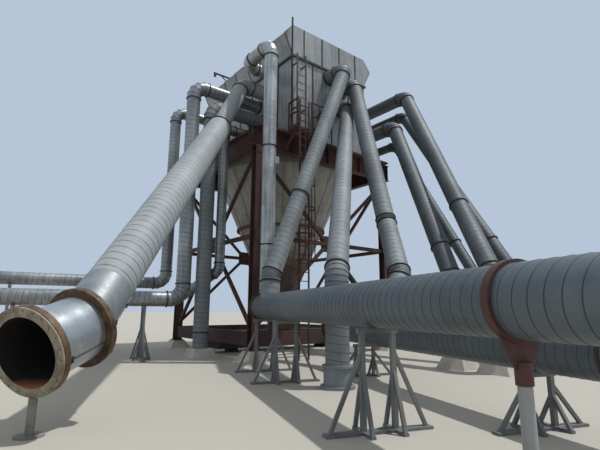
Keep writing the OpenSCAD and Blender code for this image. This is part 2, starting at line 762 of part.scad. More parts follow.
pedestals();
columns();
base_beams();
middle_ring();
ladder_side_bracing();
left_side_bracing();
rear_side_bracing();
right_side_bracing();
top_girders();
hopper_cone();
hopper_joint();
rotary_valve();
discharge_trough();
housing_floor();
housing_body();
housing_seams();
hood();
roof_mast();
platform();
platform_railing();
lower_ladder();
upper_ladder();
branch_one();
branch_two();
branch_three();
branch_four();
branch_five();
branch_six();
branch_seven();
corner_riser();
front_duct();
open_spool();
left_riser_one();
left_riser_two();
left_riser_three();
left_riser_four();
header_one();
header_two();
header_saddle();
header_stand();
header_leg();
header_stand_two();
spool_stand();
duct_feet();
riser_stands();
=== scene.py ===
"""Dresses the cyclone separator for its render: ducts, cladding, steelwork, camera and light."""
import math
import random

import bpy
from mathutils import Matrix, Vector


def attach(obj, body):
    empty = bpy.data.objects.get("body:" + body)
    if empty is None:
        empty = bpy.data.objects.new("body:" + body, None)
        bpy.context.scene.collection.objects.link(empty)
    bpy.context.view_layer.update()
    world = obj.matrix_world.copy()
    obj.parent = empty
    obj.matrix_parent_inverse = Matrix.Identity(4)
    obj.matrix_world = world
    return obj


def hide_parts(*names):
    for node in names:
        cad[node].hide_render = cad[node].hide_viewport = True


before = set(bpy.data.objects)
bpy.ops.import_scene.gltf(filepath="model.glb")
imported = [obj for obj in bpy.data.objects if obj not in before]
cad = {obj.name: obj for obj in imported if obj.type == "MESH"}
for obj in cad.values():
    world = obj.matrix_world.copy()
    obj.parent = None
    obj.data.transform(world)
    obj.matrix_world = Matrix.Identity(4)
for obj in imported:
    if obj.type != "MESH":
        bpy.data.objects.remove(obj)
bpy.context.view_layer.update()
rng = random.Random(11)
scene = bpy.context.scene
X, Y, Z = Vector((1, 0, 0)), Vector((0, 1, 0)), Vector((0, 0, 1))


# Camera, at the photo's viewpoint
CAMERA_AT = Vector((-7.7, -12.3, 1.6))
YAW, PITCH, ROLL = math.radians(52.0), math.radians(11.2), math.radians(0.3)
FOCAL_PX, IMAGE_W, SENSOR, FAR_CLIP = 430.0, 600.0, 36.0, 500.0


def add_camera():
    data = bpy.data.cameras.new("camera")
    data.sensor_width = SENSOR
    data.lens = FOCAL_PX / IMAGE_W * SENSOR
    data.clip_end = FAR_CLIP
    cam = bpy.data.objects.new("camera", data)
    scene.collection.objects.link(cam)
    look = Vector((math.cos(YAW) * math.cos(PITCH), math.sin(YAW) * math.cos(PITCH), math.sin(PITCH)))
    turn = look.to_track_quat("-Z", "Y").to_matrix().to_4x4()
    cam.matrix_world = Matrix.Translation(CAMERA_AT) @ turn @ Matrix.Rotation(ROLL, 4, "Z")
    scene.camera = cam


add_camera()


# Materials
# Where the noise of a worn surface is cut into shades, spots and runs, and how fine each one is
SHADE_CUT, SPOT_CUT, RUN_CUT = (0.35, 0.65), (0.55, 0.72), (0.5, 0.75)
SPOT_FINER, RUN_SCALE, RUN_TALL, GRAIN_SCALE = 3.1, 2.2, 0.22, 30.0
RAGGED_EDGE, ROUGH_SPREAD, RELIEF_DEPTH = 1.4, 0.12, 0.02
MATERIALS = {}


def worn_look(name, base, dark, patch, streak, patch_scale=0.9, streak_amount=0.5,
              patch_amount=0.5, rough=0.6, metal=0.0, bump=0.15, low=None, run_wide=2.6):
    """A material with two shades, spots of a third and stains that run down.

    low is (height, span, colour): the colour takes over below that height. A sheet's own "shade"
    value makes the whole colour lighter or darker."""
    mat = bpy.data.materials.new(name)
    mat.use_nodes = True
    tree = mat.node_tree
    tree.nodes.clear()
    link, add = tree.links.new, tree.nodes.new

    out = add("ShaderNodeOutputMaterial")
    shader = add("ShaderNodeBsdfPrincipled")
    shader.inputs["Metallic"].default_value = metal
    link(shader.outputs[0], out.inputs[0])
    coords = add("ShaderNodeTexCoord")

    def noise(scale, detail, stretch=None, roughness=0.6):
        made = add("ShaderNodeTexNoise")
        made.inputs["Scale"].default_value = scale
        made.inputs["Detail"].default_value = detail
        made.inputs["Roughness"].default_value = roughness
        if stretch:
            mapping = add("ShaderNodeMapping")
            mapping.inputs["Scale"].default_value = stretch
            link(coords.outputs["Object"], mapping.inputs["Vector"])
            link(mapping.outputs[0], made.inputs["Vector"])
        else:
            link(coords.outputs["Object"], made.inputs["Vector"])
        return made

    def ramp(source, start, end, low_out, high_out):
        made = add("ShaderNodeMapRange")
        for socket, value in (("From Min", start), ("From Max", end), ("To Min", low_out),
                              ("To Max", high_out)):
            made.inputs[socket].default_value = value
        link(source, made.inputs["Value"])
        return made.outputs[0]

    def mix(factor, first, second):
        made = add("ShaderNodeMix")
        made.data_type = "RGBA"
        link(factor, made.inputs[0])
        for socket, value in ((made.inputs[6], first), (made.inputs[7], second)):
            if isinstance(value, tuple):
                socket.default_value = (*value, 1.0)
            else:
                link(value, socket)
        return made.outputs[2]

    broad = noise(patch_scale, 5.0)
    colour = mix(ramp(broad.outputs[0], *SHADE_CUT, 0.0, 1.0), base, dark)
    spots = noise(patch_scale * SPOT_FINER, 8.0, roughness=0.7)
    colour = mix(ramp(spots.outputs[0], *SPOT_CUT, 0.0, patch_amount), colour, patch)
    runs = noise(RUN_SCALE, 6.0, stretch=(run_wide, run_wide, RUN_TALL))
    colour = mix(ramp(runs.outputs[0], *RUN_CUT, 0.0, streak_amount), colour, streak)
    if low:
        place = add("ShaderNodeSeparateXYZ")
        link(coords.outputs["Object"], place.inputs[0])
        ragged = add("ShaderNodeMath")
        ragged.operation = "MULTIPLY_ADD"
        link(spots.outputs[0], ragged.inputs[0])
        level, span, low_colour = low
        ragged.inputs[1].default_value = span * RAGGED_EDGE
        link(place.outputs["Z"], ragged.inputs[2])
        colour = mix(ramp(ragged.outputs[0], level + span, level, 0.0, 1.0), colour, low_colour)
    shade = add("ShaderNodeAttribute")
    shade.attribute_name = "shade"
    tint = add("ShaderNodeMix")
    tint.data_type = "RGBA"
    tint.blend_type = "MULTIPLY"
    tint.inputs[0].default_value = 1.0
    link(colour, tint.inputs[6])
    bright = add("ShaderNodeMath")
    bright.operation = "ADD"
    bright.inputs[1].default_value = 1.0
    link(shade.outputs["Fac"], bright.inputs[0])
    link(bright.outputs[0], tint.inputs[7])
    link(tint.outputs[2], shader.inputs["Base Color"])
    grain = noise(GRAIN_SCALE, 4.0)
    smoothest, roughest = max(0.05, rough - ROUGH_SPREAD), min(1.0, rough + ROUGH_SPREAD)
    link(ramp(grain.outputs[0], 0.0, 1.0, smoothest, roughest), shader.inputs["Roughness"])
    relief = add("ShaderNodeBump")
    relief.inputs["Strength"].default_value = bump
    relief.inputs["Distance"].default_value = RELIEF_DEPTH
    link(spots.outputs[0], relief.inputs["Height"])
    link(relief.outputs[0], shader.inputs["Normal"])
    MATERIALS[name] = mat
    return mat


# Each look: its name, then its base, dark, spot and stain colours
worn_look("concrete", (.50, .48, .44), (.36, .34, .31), (.22, .20, .18), (.28, .24, .20), rough=.9,
          bump=.3, streak_amount=.4)
worn_look("oxide", (.073, .029, .024), (.038, .020, .019), (.13, .05, .032), (.026, .018, .017),
          rough=.75, patch_amount=.6, bump=.2)
worn_look("hopper", (.36, .358, .34), (.235, .235, .222), (.15, .115, .09), (.14, .115, .095),
          rough=.6, patch_amount=.5, streak_amount=.8, low=(4.1, .9, (.085, .060, .048)), run_wide=3.6)
worn_look("rusty", (.13, .062, .038), (.07, .038, .027), (.22, .10, .05), (.05, .03, .024), rough=.8,
          patch_amount=.7, bump=.3)
worn_look("black", (.020, .018, .017), (.012, .011, .011), (.055, .035, .026), (.035, .028, .022),
          rough=.7, patch_amount=.5)
worn_look("panels", (.37, .395, .41), (.24, .26, .275), (.14, .147, .15), (.11, .117, .12),
          patch_scale=.7, rough=.46, metal=.3, patch_amount=.5, streak_amount=.9, run_wide=5.5)
worn_look("seam", (.055, .058, .06), (.03, .032, .033), (.10, .06, .04), (.03, .025, .02), rough=.7)
worn_look("ladder_dark", (.09, .075, .07), (.05, .045, .042), (.15, .07, .045), (.04, .035, .03),
          rough=.65, metal=.1)
worn_look("ladder_zinc", (.42, .43, .42), (.30, .30, .29), (.2, .13, .09), (.2, .15, .11), rough=.55,
          metal=.2)
worn_look("blue_zinc", (.205, .235, .256), (.140, .163, .182), (.28, .305, .318), (.10, .107, .112),
          patch_scale=.8, rough=.66, metal=.15, patch_amount=.5, streak_amount=.55, run_wide=3.6)
# This look is blue_zinc made about 0.6 times as bright: painted shade that dims the far branch ducts.
worn_look("far_zinc_painted_shade", (.120, .141, .158), (.076, .091, .104), (.17, .19, .202), (.055, .058, .06),
          patch_scale=.8, rough=.6, metal=.2, patch_amount=.5, streak_amount=.5)
worn_look("header_zinc", (.122, .148, .170), (.082, .103, .120), (.170, .192, .206),
          (.058, .062, .066), patch_scale=.7, rough=.5, metal=.3, patch_amount=.45, streak_amount=.4)
worn_look("bright_zinc", (.33, .355, .365), (.20, .22, .235), (.46, .48, .49), (.085, .09, .095),
          patch_scale=.9, rough=.36, metal=.5, patch_amount=.55, streak_amount=.8, run_wide=4.5)
worn_look("front_zinc", (.31, .345, .365), (.25, .28, .30), (.36, .39, .405), (.20, .215, .225),
          patch_scale=.9, rough=.72, metal=.1, patch_amount=.5, streak_amount=.4)
worn_look("sleeve_zinc", (.255, .285, .305), (.18, .205, .225), (.33, .35, .36), (.15, .135, .115),
          patch_scale=2.2, rough=.5, metal=.4, patch_amount=.6, streak_amount=.5)
worn_look("spool_zinc", (.36, .40, .43), (.26, .30, .34), (.47, .49, .49), (.20, .18, .15),
          patch_scale=1.6, rough=.36, metal=.55, patch_amount=.7, streak_amount=.6)
worn_look("silver", (.50, .525, .54), (.29, .315, .33), (.66, .68, .68), (.13, .137, .143),
          patch_scale=1.3, rough=.4, metal=.5, patch_amount=.6, streak_amount=.85, run_wide=5.0)
worn_look("ring", (.05, .046, .044), (.03, .028, .028), (.12, .065, .04), (.03, .025, .02),
          patch_scale=2.0, rough=.65, metal=.2, patch_amount=.6)
worn_look("helix", (.085, .097, .108), (.055, .064, .072), (.13, .14, .145), (.045, .045, .045),
          rough=.7)
worn_look("header_seam", (.050, .060, .070), (.032, .040, .047), (.075, .085, .092), (.03, .03, .03),
          rough=.7)
worn_look("helix_bright", (.12, .128, .132), (.08, .085, .09), (.2, .21, .21), (.06, .058, .055),
          rough=.5, metal=.3)
worn_look("saddle", (.092, .030, .025), (.055, .023, .021), (.13, .06, .048), (.04, .022, .02),
          rough=.6, patch_scale=2.5, patch_amount=.5)
worn_look("stand", (.185, .20, .205), (.125, .137, .142), (.17, .11, .08), (.06, .055, .05), rough=.6,
          metal=.15)
worn_look("post", (.34, .36, .37), (.25, .26, .27), (.18, .12, .09), (.17, .14, .12), rough=.55)
worn_look("old_post", (.22, .22, .20), (.14, .14, .13), (.30, .29, .26), (.09, .07, .05),
          patch_scale=4.0, rough=.7, patch_amount=.7)
# The spool's bore: near black as painted shade for its dim inside, with real rust low in it.
worn_look("bore_shade_and_rust", (.008, .008, .008), (.005, .005, .005), (.05, .022, .012), (.02, .012, .008),
          rough=.9, patch_amount=.5, low=(.66, .07, (.34, .13, .05)))
worn_look("pale_flange", (.30, .275, .215), (.17, .135, .09), (.42, .41, .36), (.10, .055, .03),
          patch_scale=6.0, rough=.8, patch_amount=.8, streak_amount=.7, bump=.5)
worn_look("brass_flange", (.15, .09, .042), (.045, .03, .022), (.28, .19, .085), (.03, .02, .016),
          patch_scale=6.0, rough=.55, metal=.2, patch_amount=.8, streak_amount=.9, bump=.5,
          run_wide=9.0)

CAD_LOOKS = {
    "concrete": ("pedestals", "duct_feet"),
    "oxide": ("columns", "base_beams", "middle_ring", "ladder_side_bracing", "left_side_bracing",
              "rear_side_bracing", "right_side_bracing", "top_girders", "housing_floor",
              "platform", "platform_railing", "lower_ladder"),
    "hopper": ("hopper_cone",),
    "rusty": ("hopper_joint", "rotary_valve"),
    "black": ("discharge_trough", "roof_mast"),
    "seam": ("housing_seams",),
    "panels": ("housing_body", "hood"),
    "ladder_dark": ("upper_ladder",),
    "saddle": ("header_saddle",),
    "stand": ("header_stand", "header_stand_two", "riser_stands"),
    "old_post": ("spool_stand",),
    "blue_zinc": ("header_leg",),
}


def dress_cad():
    for look, names in CAD_LOOKS.items():
        for name in names:
            slots = cad[name].material_slots
            for slot in slots:
                slot.material = MATERIALS[look]
            if not slots:
                cad[name].data.materials.append(MATERIALS[look])


dress_cad()


# Mesh building: the sides of a round form, how near upright counts as upright, and bolt washers
ROUND, FINE_ROUND, WIDE_ROUND, UPRIGHT = 48, 64, 96, 0.001
WASHER_SHARE, WASHER_T, WASHER_SIDES, NUT_SIDES = 1.35, 0.003, 12, 6


class Piece:
    """Collects points and faces, and becomes one object that rides on the frame."""

    def __init__(self, name, slot, looks):
        self.name, self.slot, self.looks = name, slot, looks
        self.points, self.faces, self.marks, self.round, self.shades = [], [], [], [], []

    def add(self, points, faces, mark=0, smooth=False, shade=0.0):
        start = len(self.points)
        self.points.extend(Vector(p) for p in points)
        for face in faces:
            self.faces.append([start + i for i in face])
            self.marks.append(mark)
            self.round.append(smooth)
            self.shades.append(shade)

    def finish(self, *replaced):
        mesh = bpy.data.meshes.new(self.name)
        mesh.from_pydata([tuple(p) for p in self.points], [], self.faces)
        for look in self.looks:
            mesh.materials.append(MATERIALS[look])
        mesh.polygons.foreach_set("material_index", self.marks)
        mesh.polygons.foreach_set("use_smooth", self.round)
        layer = mesh.attributes.new("shade", "FLOAT", "FACE")
        layer.data.foreach_set("value", self.shades)
        mesh.update()
        obj = bpy.data.objects.new(self.name, mesh)
        scene.collection.objects.link(obj)
        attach(obj, "root")
        if replaced:
            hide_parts(*replaced)
        return obj


def unit(v):
    return Vector(v).normalized()


def side_axes(d):
    """Two axes across the direction d; the second one points up as far as it can."""
    d = unit(d)
    u = d.cross(Z)
    u = X.copy() if u.length < UPRIGHT else unit(u)
    return u, u.cross(d)


def ring_points(centre, u, w, r, sides):
    return [centre + u * r * math.cos(2 * math.pi * k / sides)
            + w * r * math.sin(2 * math.pi * k / sides) for k in range(sides)]


def band(piece, first, second, mark=0, smooth=True, shade=0.0):
    n = len(first)
    faces = [[k, (k + 1) % n, n + (k + 1) % n, n + k] for k in range(n)]
    piece.add(first + second, faces, mark, smooth, shade)


def tube(piece, a, b, r, mark=0, r_end=None, sides=ROUND, caps=False, shade=0.0):
    a, b = Vector(a), Vector(b)
    u, w = side_axes(b - a)
    first = ring_points(a, u, w, r, sides)
    second = ring_points(b, u, w, r if r_end is None else r_end, sides)
    band(piece, first, second, mark, True, shade)
    if caps:
        piece.add(first, [list(range(sides - 1, -1, -1))], mark, False, shade)
        piece.add(second, [list(range(sides))], mark, False, shade)


def box(piece, centre, axes, half, mark=0, edge=0.004, shade=0.0):
    """A box with small chamfers; axes are its three directions, half its half sizes."""
    centre = Vector(centre)
    axes = [unit(a) for a in axes]
    rows = []
    tall = half[2]
    for level, trim in ((-tall, edge), (-tall + edge, 0.0), (tall - edge, 0.0), (tall, edge)):
        x, y = half[0] - trim, half[1] - trim
        outline = [(-x + edge, -y), (x - edge, -y), (x, -y + edge), (x, y - edge), (x - edge, y),
                   (-x + edge, y), (-x, y - edge), (-x, -y + edge)]
        rows.append([centre + axes[0] * px + axes[1] * py + axes[2] * level for px, py in outline])
    for layer in range(3):
        band(piece, rows[layer], rows[layer + 1], mark, False, shade)
    piece.add(rows[0], [list(range(7, -1, -1))], mark, False, shade)
    piece.add(rows[3], [list(range(8))], mark, False, shade)


def beam(piece, a, b, w, h, mark=0, edge=0.004):
    a, b = Vector(a), Vector(b)
    u, v = side_axes(b - a)
    box(piece, (a + b) / 2, (u, v, b - a), (w / 2, h / 2, (b - a).length / 2), mark, edge)


def bolt(piece, at, d, r=0.014, tall=0.012, mark=0):
    """A hexagon head with a washer, its seat at the point at, facing along d."""
    at, d = Vector(at), unit(d)
    u, w = side_axes(d)
    for size, sides, low, high in ((r * WASHER_SHARE, WASHER_SIDES, 0.0, WASHER_T),
                                   (r, NUT_SIDES, WASHER_T, tall)):
        first = ring_points(at + d * low, u, w, size, sides)
        second = ring_points(at + d * high, u, w, size, sides)
        band(piece, first, second, mark, False)
        piece.add(second, [list(range(sides))], mark)


# Ducts
RING_OUT, RING_HALF, RING_BOLTS, BIG_RING_BOLTS, RING_BOLT_R = 0.034, 0.022, 12, 16, 0.010
RING_GAP, DISC_SHARE, COLLAR_SHARE, BOLT_SHARE = 0.002, 0.45, 0.30, 0.66
BEND_SHARE, GORES, CUFF, ELBOW_LIFT, GORE_TONE = 1.9, 4, 0.060, 0.004, 0.10
SEAM_PITCH, SEAM_W, SEAM_H, SEAM_STEPS, SEAM_PHASE = 0.17, 0.015, 0.004, 48, 6
MITRE_HALF, MITRE_H, END_GAP = 0.012, 0.010, 0.001
SHEET_L, SHEET_TONE, LONG_TONE = 1.5, 0.16, 0.14
WALL_GAP, WALL_RING_GROW, WALL_RING_OUT = 0.034, 0.010, 0.035
# A duct's skin has its looks in this order, and further ones are named below
DUCT, HELIX, RING = 0, 1, 2


def flange(piece, at, d, r, mark=RING, bolts=RING_BOLTS, out=RING_OUT, half=RING_HALF):
    """A pair of bolted flange discs round a duct."""
    at, d = Vector(at), unit(d)
    u, w = side_axes(d)
    for s in (-1, 1):
        near, far = at + d * s * RING_GAP, at + d * s * half * DISC_SHARE
        lip, collar = at + d * s * half, r + out * COLLAR_SHARE
        profile = [(near, r), (near, r + out), (far, r + out), (far, collar), (lip, collar), (lip, r)]
        rings = [ring_points(c, u, w, q, ROUND) for c, q in profile]
        for first, second in zip(rings, rings[1:]):
            if s > 0:
                band(piece, first, second, mark, False)
            else:
                band(piece, second, first, mark, False)
        for k in range(bolts):
            t = 2 * math.pi * (k + 0.5) / bolts
            spot = far + (u * math.cos(t) + w * math.sin(t)) * (r + out * BOLT_SHARE)
            bolt(piece, spot, d * s, r=RING_BOLT_R, tall=RING_BOLT_R, mark=mark)


def helix(piece, a, b, r, pitch=SEAM_PITCH, phase=0.0, wide=SEAM_W):
    """The lock seam that winds round a spiral duct."""
    d = unit(b - a)
    u, w = side_axes(d)
    length = (b - a).length - wide * 2
    if length < pitch / 2:
        return
    steps = max(4, int(length / pitch * SEAM_STEPS))
    points = []
    for k in range(steps + 1):
        t = 2 * math.pi * k / SEAM_STEPS + phase
        centre = a + d * (wide + length * k / steps)
        out = u * math.cos(t) + w * math.sin(t)
        points += [centre - d * wide / 2 + out * r, centre + out * (r + SEAM_H),
                   centre + d * wide / 2 + out * r]
    faces = [[i, i + 1, i + 4, i + 3] for k in range(steps) for i in (3 * k, 3 * k + 1)]
    piece.add(points, faces, HELIX, True)


def gored_elbow(piece, corner, d1, d2, r):
    """Mitred gores round a bend, with a standing seam at every mitre."""
    phi = d1.angle(d2)
    side = (d2 - d1 * math.cos(phi)) / math.sin(phi)
    axle = d1.cross(d2) / math.sin(phi)
    bend = r * BEND_SHARE
    hub = corner - d1 * bend * math.tan(phi / 2) + side * bend
    half = phi / (2 * GORES)
    skin = r + ELBOW_LIFT

    def station(angle, stretch, slip=0.0, grow=0.0):
        out = d1 * math.sin(angle) - side * math.cos(angle)
        ahead = d1 * math.cos(angle) + side * math.sin(angle)
        ring = []
        for j in range(ROUND):
            t = 2 * math.pi * j / ROUND
            reach = (bend + (skin + grow) * math.cos(t)) * stretch
            ring.append(hub + out * reach + axle * (skin + grow) * math.sin(t) + ahead * slip)
        return ring

    mitres = [(half * (2 * k + 1), 1 / math.cos(half), 0.0) for k in range(GORES)]
    stations = [(0.0, 1.0, -CUFF), *mitres, (phi, 1.0, CUFF)]
    for first, second in zip(stations, stations[1:]):
        tone = (rng.random() - 0.5) * GORE_TONE
        band(piece, station(*first), station(*second), DUCT, True, tone)
    for angle, stretch, slip in mitres:
        low, top, high = (station(angle, stretch, slip - MITRE_HALF),
                          station(angle, stretch, slip, MITRE_H),
                          station(angle, stretch, slip + MITRE_HALF))
        band(piece, low, top, HELIX, True)
        band(piece, top, high, HELIX, True)


def rolled_sheets(piece, a, b, r, count, spread, sides=ROUND):
    """A straight run of rolled sheets, each with its own shade."""
    for k in range(count):
        tone = (rng.random() - 0.5) * spread
        tube(piece, a.lerp(b, k / count), a.lerp(b, (k + 1) / count), r, DUCT, sides=sides, shade=tone)


def run_duct(piece, route, r, closed_end=False):
    """Sheets, lock seams, elbows and joint rings along a route of corners."""
    points = [Vector(p) for p in route]
    heads = [unit(b - a) for a, b in zip(points, points[1:])]
    backs = [0.0] * len(points)
    for i in range(1, len(points) - 1):
        backs[i] = r * BEND_SHARE * math.tan(heads[i - 1].angle(heads[i]) / 2)
    for i, d in enumerate(heads):
        a = points[i] + d * backs[i]
        b = points[i + 1] - d * backs[i + 1]
        rolled_sheets(piece, a, b, r, max(1, round((b - a).length / SHEET_L)), SHEET_TONE)
        helix(piece, a + d * (CUFF if i else 0), b - d * (CUFF if i < len(heads) - 1 else 0), r,
              phase=rng.random() * SEAM_PHASE)
    for i in range(1, len(points) - 1):
        gored_elbow(piece, points[i], heads[i - 1], heads[i], r)
        for d, s in ((heads[i - 1], -1), (heads[i], 1)):
            flange(piece, points[i] + d * s * (backs[i] + CUFF), d, r)
    if closed_end:
        u, w = side_axes(heads[-1])
        cap = ring_points(points[-1] - heads[-1] * END_GAP, u, w, r, ROUND)
        piece.add(cap, [list(range(ROUND))], RING)


def wall_ring(piece, route, r):
    """The joint ring where a duct leaves the housing's wall."""
    start = Vector(route[0])
    d = unit(Vector(route[1]) - start)
    flange(piece, start + d * WALL_GAP, d, r + WALL_RING_GROW, out=WALL_RING_OUT)


def mid_rings(piece, route, r, shares):
    """Joint rings at shares of the route's longest run."""
    a, b = max(zip(route, route[1:]), key=lambda run: (Vector(run[1]) - Vector(run[0])).length)
    a, b = Vector(a), Vector(b)
    for share in shares:
        flange(piece, a.lerp(b, share), b - a, r)


BLUE = ("blue_zinc", "helix", "ring")
# The far branch ducts (four to seven) take the darker copy of blue_zinc, as painted shade.
FAR_SHADED = ("far_zinc_painted_shade", "helix", "ring")
DARK = ("header_zinc", "header_seam", "ring", "rusty")
BRIGHT = ("bright_zinc", "helix_bright", "ring")
SILVER = ("silver", "silver", "ring")
FRONT = ("front_zinc", "helix_bright", "ring", "brass_flange", "sleeve_zinc")
OPEN = ("spool_zinc", "helix_bright", "seam", "brass_flange", "pale_flange", "bore_shade_and_rust")
# Further places in those lists: in DARK; in FRONT and OPEN; in FRONT; and the last three in OPEN
RUSTY_LOOK, BRASS_LOOK, SLEEVE_LOOK = 3, 3, 4
HOLE_SHADE_LOOK, MOUTH_LOOK, BORE_SHADE_LOOK = 2, 4, 5
SLOT_OF = {BLUE: "duct_blue_zinc", FAR_SHADED: "duct_blue_zinc", BRIGHT: "duct_bright_zinc",
           SILVER: "duct_bright_zinc"}

# The frame's grid and the housing's walls, as the CAD has them
GRID_X, GRID_Y, FOOT, SEAT = 6.5, 6.2, 0.3003, 0.0003
WALL_FRONT, WALL_LEFT, WALL_RIGHT, WALL_REAR = -0.3, 1.3, 5.2, 6.5
BODY_Z, HOOD_Z, HOOD_OUT, HOOD_RISE, ROOF_RISE = 8.0806, 11.2809, 0.4, 0.8, 0.48
HOOD_TOP = HOOD_Z + HOOD_RISE + ROOF_RISE

HEADER_R, HEADER_DIR = 0.33, unit((-325, -946, 0))
HEADER_ONE = Vector((-0.927, -1.914, 1.69))
HEADER_TWO = Vector((1.175, -2.554, 1.1))
HEADER_ONE_L, HEADER_TWO_L = 10.6, 8.4

# Each duct's radius, looks and corners, and whether its last end is closed
ROUTES = {
    "branch_one": (0.260, BLUE, [(3.1, WALL_FRONT, 10.9), (3.1, -1.3, 10.9), (-1.08, -2.55, 2.5),
                                 HEADER_ONE + HEADER_DIR * .8], False),
    "branch_two": (0.275, BLUE, [(3.8, WALL_FRONT, 10.55), (3.8, -1.05, 10.55), (2.03, -4.01, 4.18),
                                 (1.15, -5.15, 2.5), HEADER_TWO + HEADER_DIR * 3.3], False),
    "branch_three": (0.260, BLUE, [(3.75, WALL_FRONT, 9.65), (3.75, -.72, 9.65), (-1.2, -5.3, 2.35),
                                   (-1.2, -5.3, SEAT)], False),
    "branch_four": (0.275, FAR_SHADED, [(WALL_RIGHT, 3.4, 10.95), (6.9, 3.4, 10.95), (6.9, -1.2, 10.95),
                                 (3.7, -6.27, 2.6), (3.7, -6.27, FOOT)], False),
    "branch_five": (0.210, FAR_SHADED, [(WALL_RIGHT, 4.9, 10.4), (7.45, 4.9, 10.4), (7.45, -.6, 10.4),
                                 (5.5, -6.0, 2.7), (5.5, -6.0, FOOT)], False),
    "branch_six": (0.275, FAR_SHADED, [(WALL_RIGHT, 1.2, 9.2), (5.9, 1.2, 9.2), (5.9, -1.3, 9.2),
                                (3.7, -5.05, 2.5), (3.7, -5.05, FOOT)], False),
    "branch_seven": (0.180, FAR_SHADED, [(WALL_RIGHT, 2.2, 8.7), (6.6, 2.2, 8.7), (6.6, -.8, 8.7),
                                  (5.3, -4.85, 2.7), (5.3, -4.85, FOOT)], False),
    "corner_riser": (0.230, SILVER, [(WALL_LEFT, .95, 10.9), (-.05, .95, 10.9), (-.05, -.8, 10.9),
                                     (-.05, -.8, 1.69), HEADER_ONE - HEADER_DIR * .35,
                                     HEADER_ONE - HEADER_DIR * SEAT], False),
    "left_riser_one": (0.250, BRIGHT, [(WALL_LEFT, 2.1, 9.98), (-1.6, 2.1, 9.98), (-1.6, 2.1, 1.95),
                                       (-7.2, 3.107, 1.95)], True),
    "left_riser_two": (0.225, BRIGHT, [(WALL_LEFT, 5.1, 10.2), (-1.1, 5.1, 10.2), (-1.1, 5.1, 2.65),
                                       (-7.2, 5.903, 2.65)], True),
    "left_riser_three": (0.265, BLUE, [(WALL_LEFT, 1.9, 9.25), (-.95, 1.9, 9.25),
                                       (-.95, 1.9, FOOT)], False),
    "left_riser_four": (0.180, BRIGHT, [(WALL_LEFT, 1.75, 8.45), (-.42, 1.75, 8.45), (-.42, 1.75, 3.0),
                                        (-1.25, 3.45, 1.95)], True),
}

# Where a duct's longest run has joint rings between its elbows
MID_RINGS = {"branch_one": (.69,), "branch_four": (.72,), "branch_five": (.85,), "branch_six": (.84,),
             "branch_seven": (.8,), "corner_riser": (.42, .785), "left_riser_one": (.5,),
             "left_riser_two": (.45,), "left_riser_three": (.94,)}


def make_ducts():
    for name, (r, looks, route, closed) in ROUTES.items():
        piece = Piece(name + "_skin", SLOT_OF[looks], looks)
        run_duct(piece, route, r, closed_end=closed)
        wall_ring(piece, route, r)
        mid_rings(piece, route, r, MID_RINGS.get(name, ()))
        piece.finish(name)


HEADER_SHEET_L, HEADER_PITCH, HEADER_SEAM_W, HEADER_CAP_GAP = 1.6, 0.15, 0.013, 0.002
START_RING_AT, START_RING_OUT, START_RING_HALF, END_RING_AT = 0.05, 0.06, 0.045, 0.03


def make_headers():
    for name, start, length in (("header_one", HEADER_ONE, HEADER_ONE_L),
                                ("header_two", HEADER_TWO, HEADER_TWO_L)):
        piece = Piece(name + "_skin", "duct_blue_zinc", DARK)
        end = start + HEADER_DIR * length
        rolled_sheets(piece, start, end, HEADER_R, round(length / HEADER_SHEET_L), LONG_TONE, FINE_ROUND)
        helix(piece, start, end, HEADER_R, pitch=HEADER_PITCH, wide=HEADER_SEAM_W)
        flange(piece, start + HEADER_DIR * START_RING_AT, HEADER_DIR, HEADER_R, mark=RUSTY_LOOK,
               bolts=BIG_RING_BOLTS, out=START_RING_OUT, half=START_RING_HALF)
        flange(piece, end - HEADER_DIR * END_RING_AT, HEADER_DIR, HEADER_R, bolts=BIG_RING_BOLTS)
        u, w = side_axes(HEADER_DIR)
        disc = list(range(FINE_ROUND))
        for at, face in ((start + HEADER_DIR * HEADER_CAP_GAP, disc[::-1]),
                         (end - HEADER_DIR * HEADER_CAP_GAP, disc)):
            piece.add(ring_points(at, u, w, HEADER_R, FINE_ROUND), [face], RING)
        piece.finish(name)


# The front duct's upper part, its long lower part, and the open spool that it ends in
FRONT_TOP_R, FRONT_R, SPOOL_R = 0.290, 0.40, 0.485
FRONT_TOP = [(WALL_LEFT, 1.5, 10.35), (.15, 1.5, 10.35), (-1.3, .49, 7.8)]
FRONT_LOW = [Vector((-1.3, .49, 7.8)), Vector((-6.22, -5.12, 1.33))]
SPOOL = [Vector((-6.22, -5.12, 1.33)), Vector((-6.95, -5.65, 1.04))]
REDUCER_L, FRONT_SHEETS, FRONT_PITCH, FRONT_SEAM_W = 0.02, 6, 0.19, 0.022
SLEEVE_L, SLEEVE_SWELL, SLEEVE_STEP, SLEEVE_END = 0.95, 0.012, 0.04, 0.075
SLEEVE_LAP, SLEEVE_LATCHES = (.05, .09), (.25, .75)
FRONT_FLANGE, FRONT_FLANGE_LIP, FRONT_FLANGE_TRIM = (.0595, .002), .01, .012


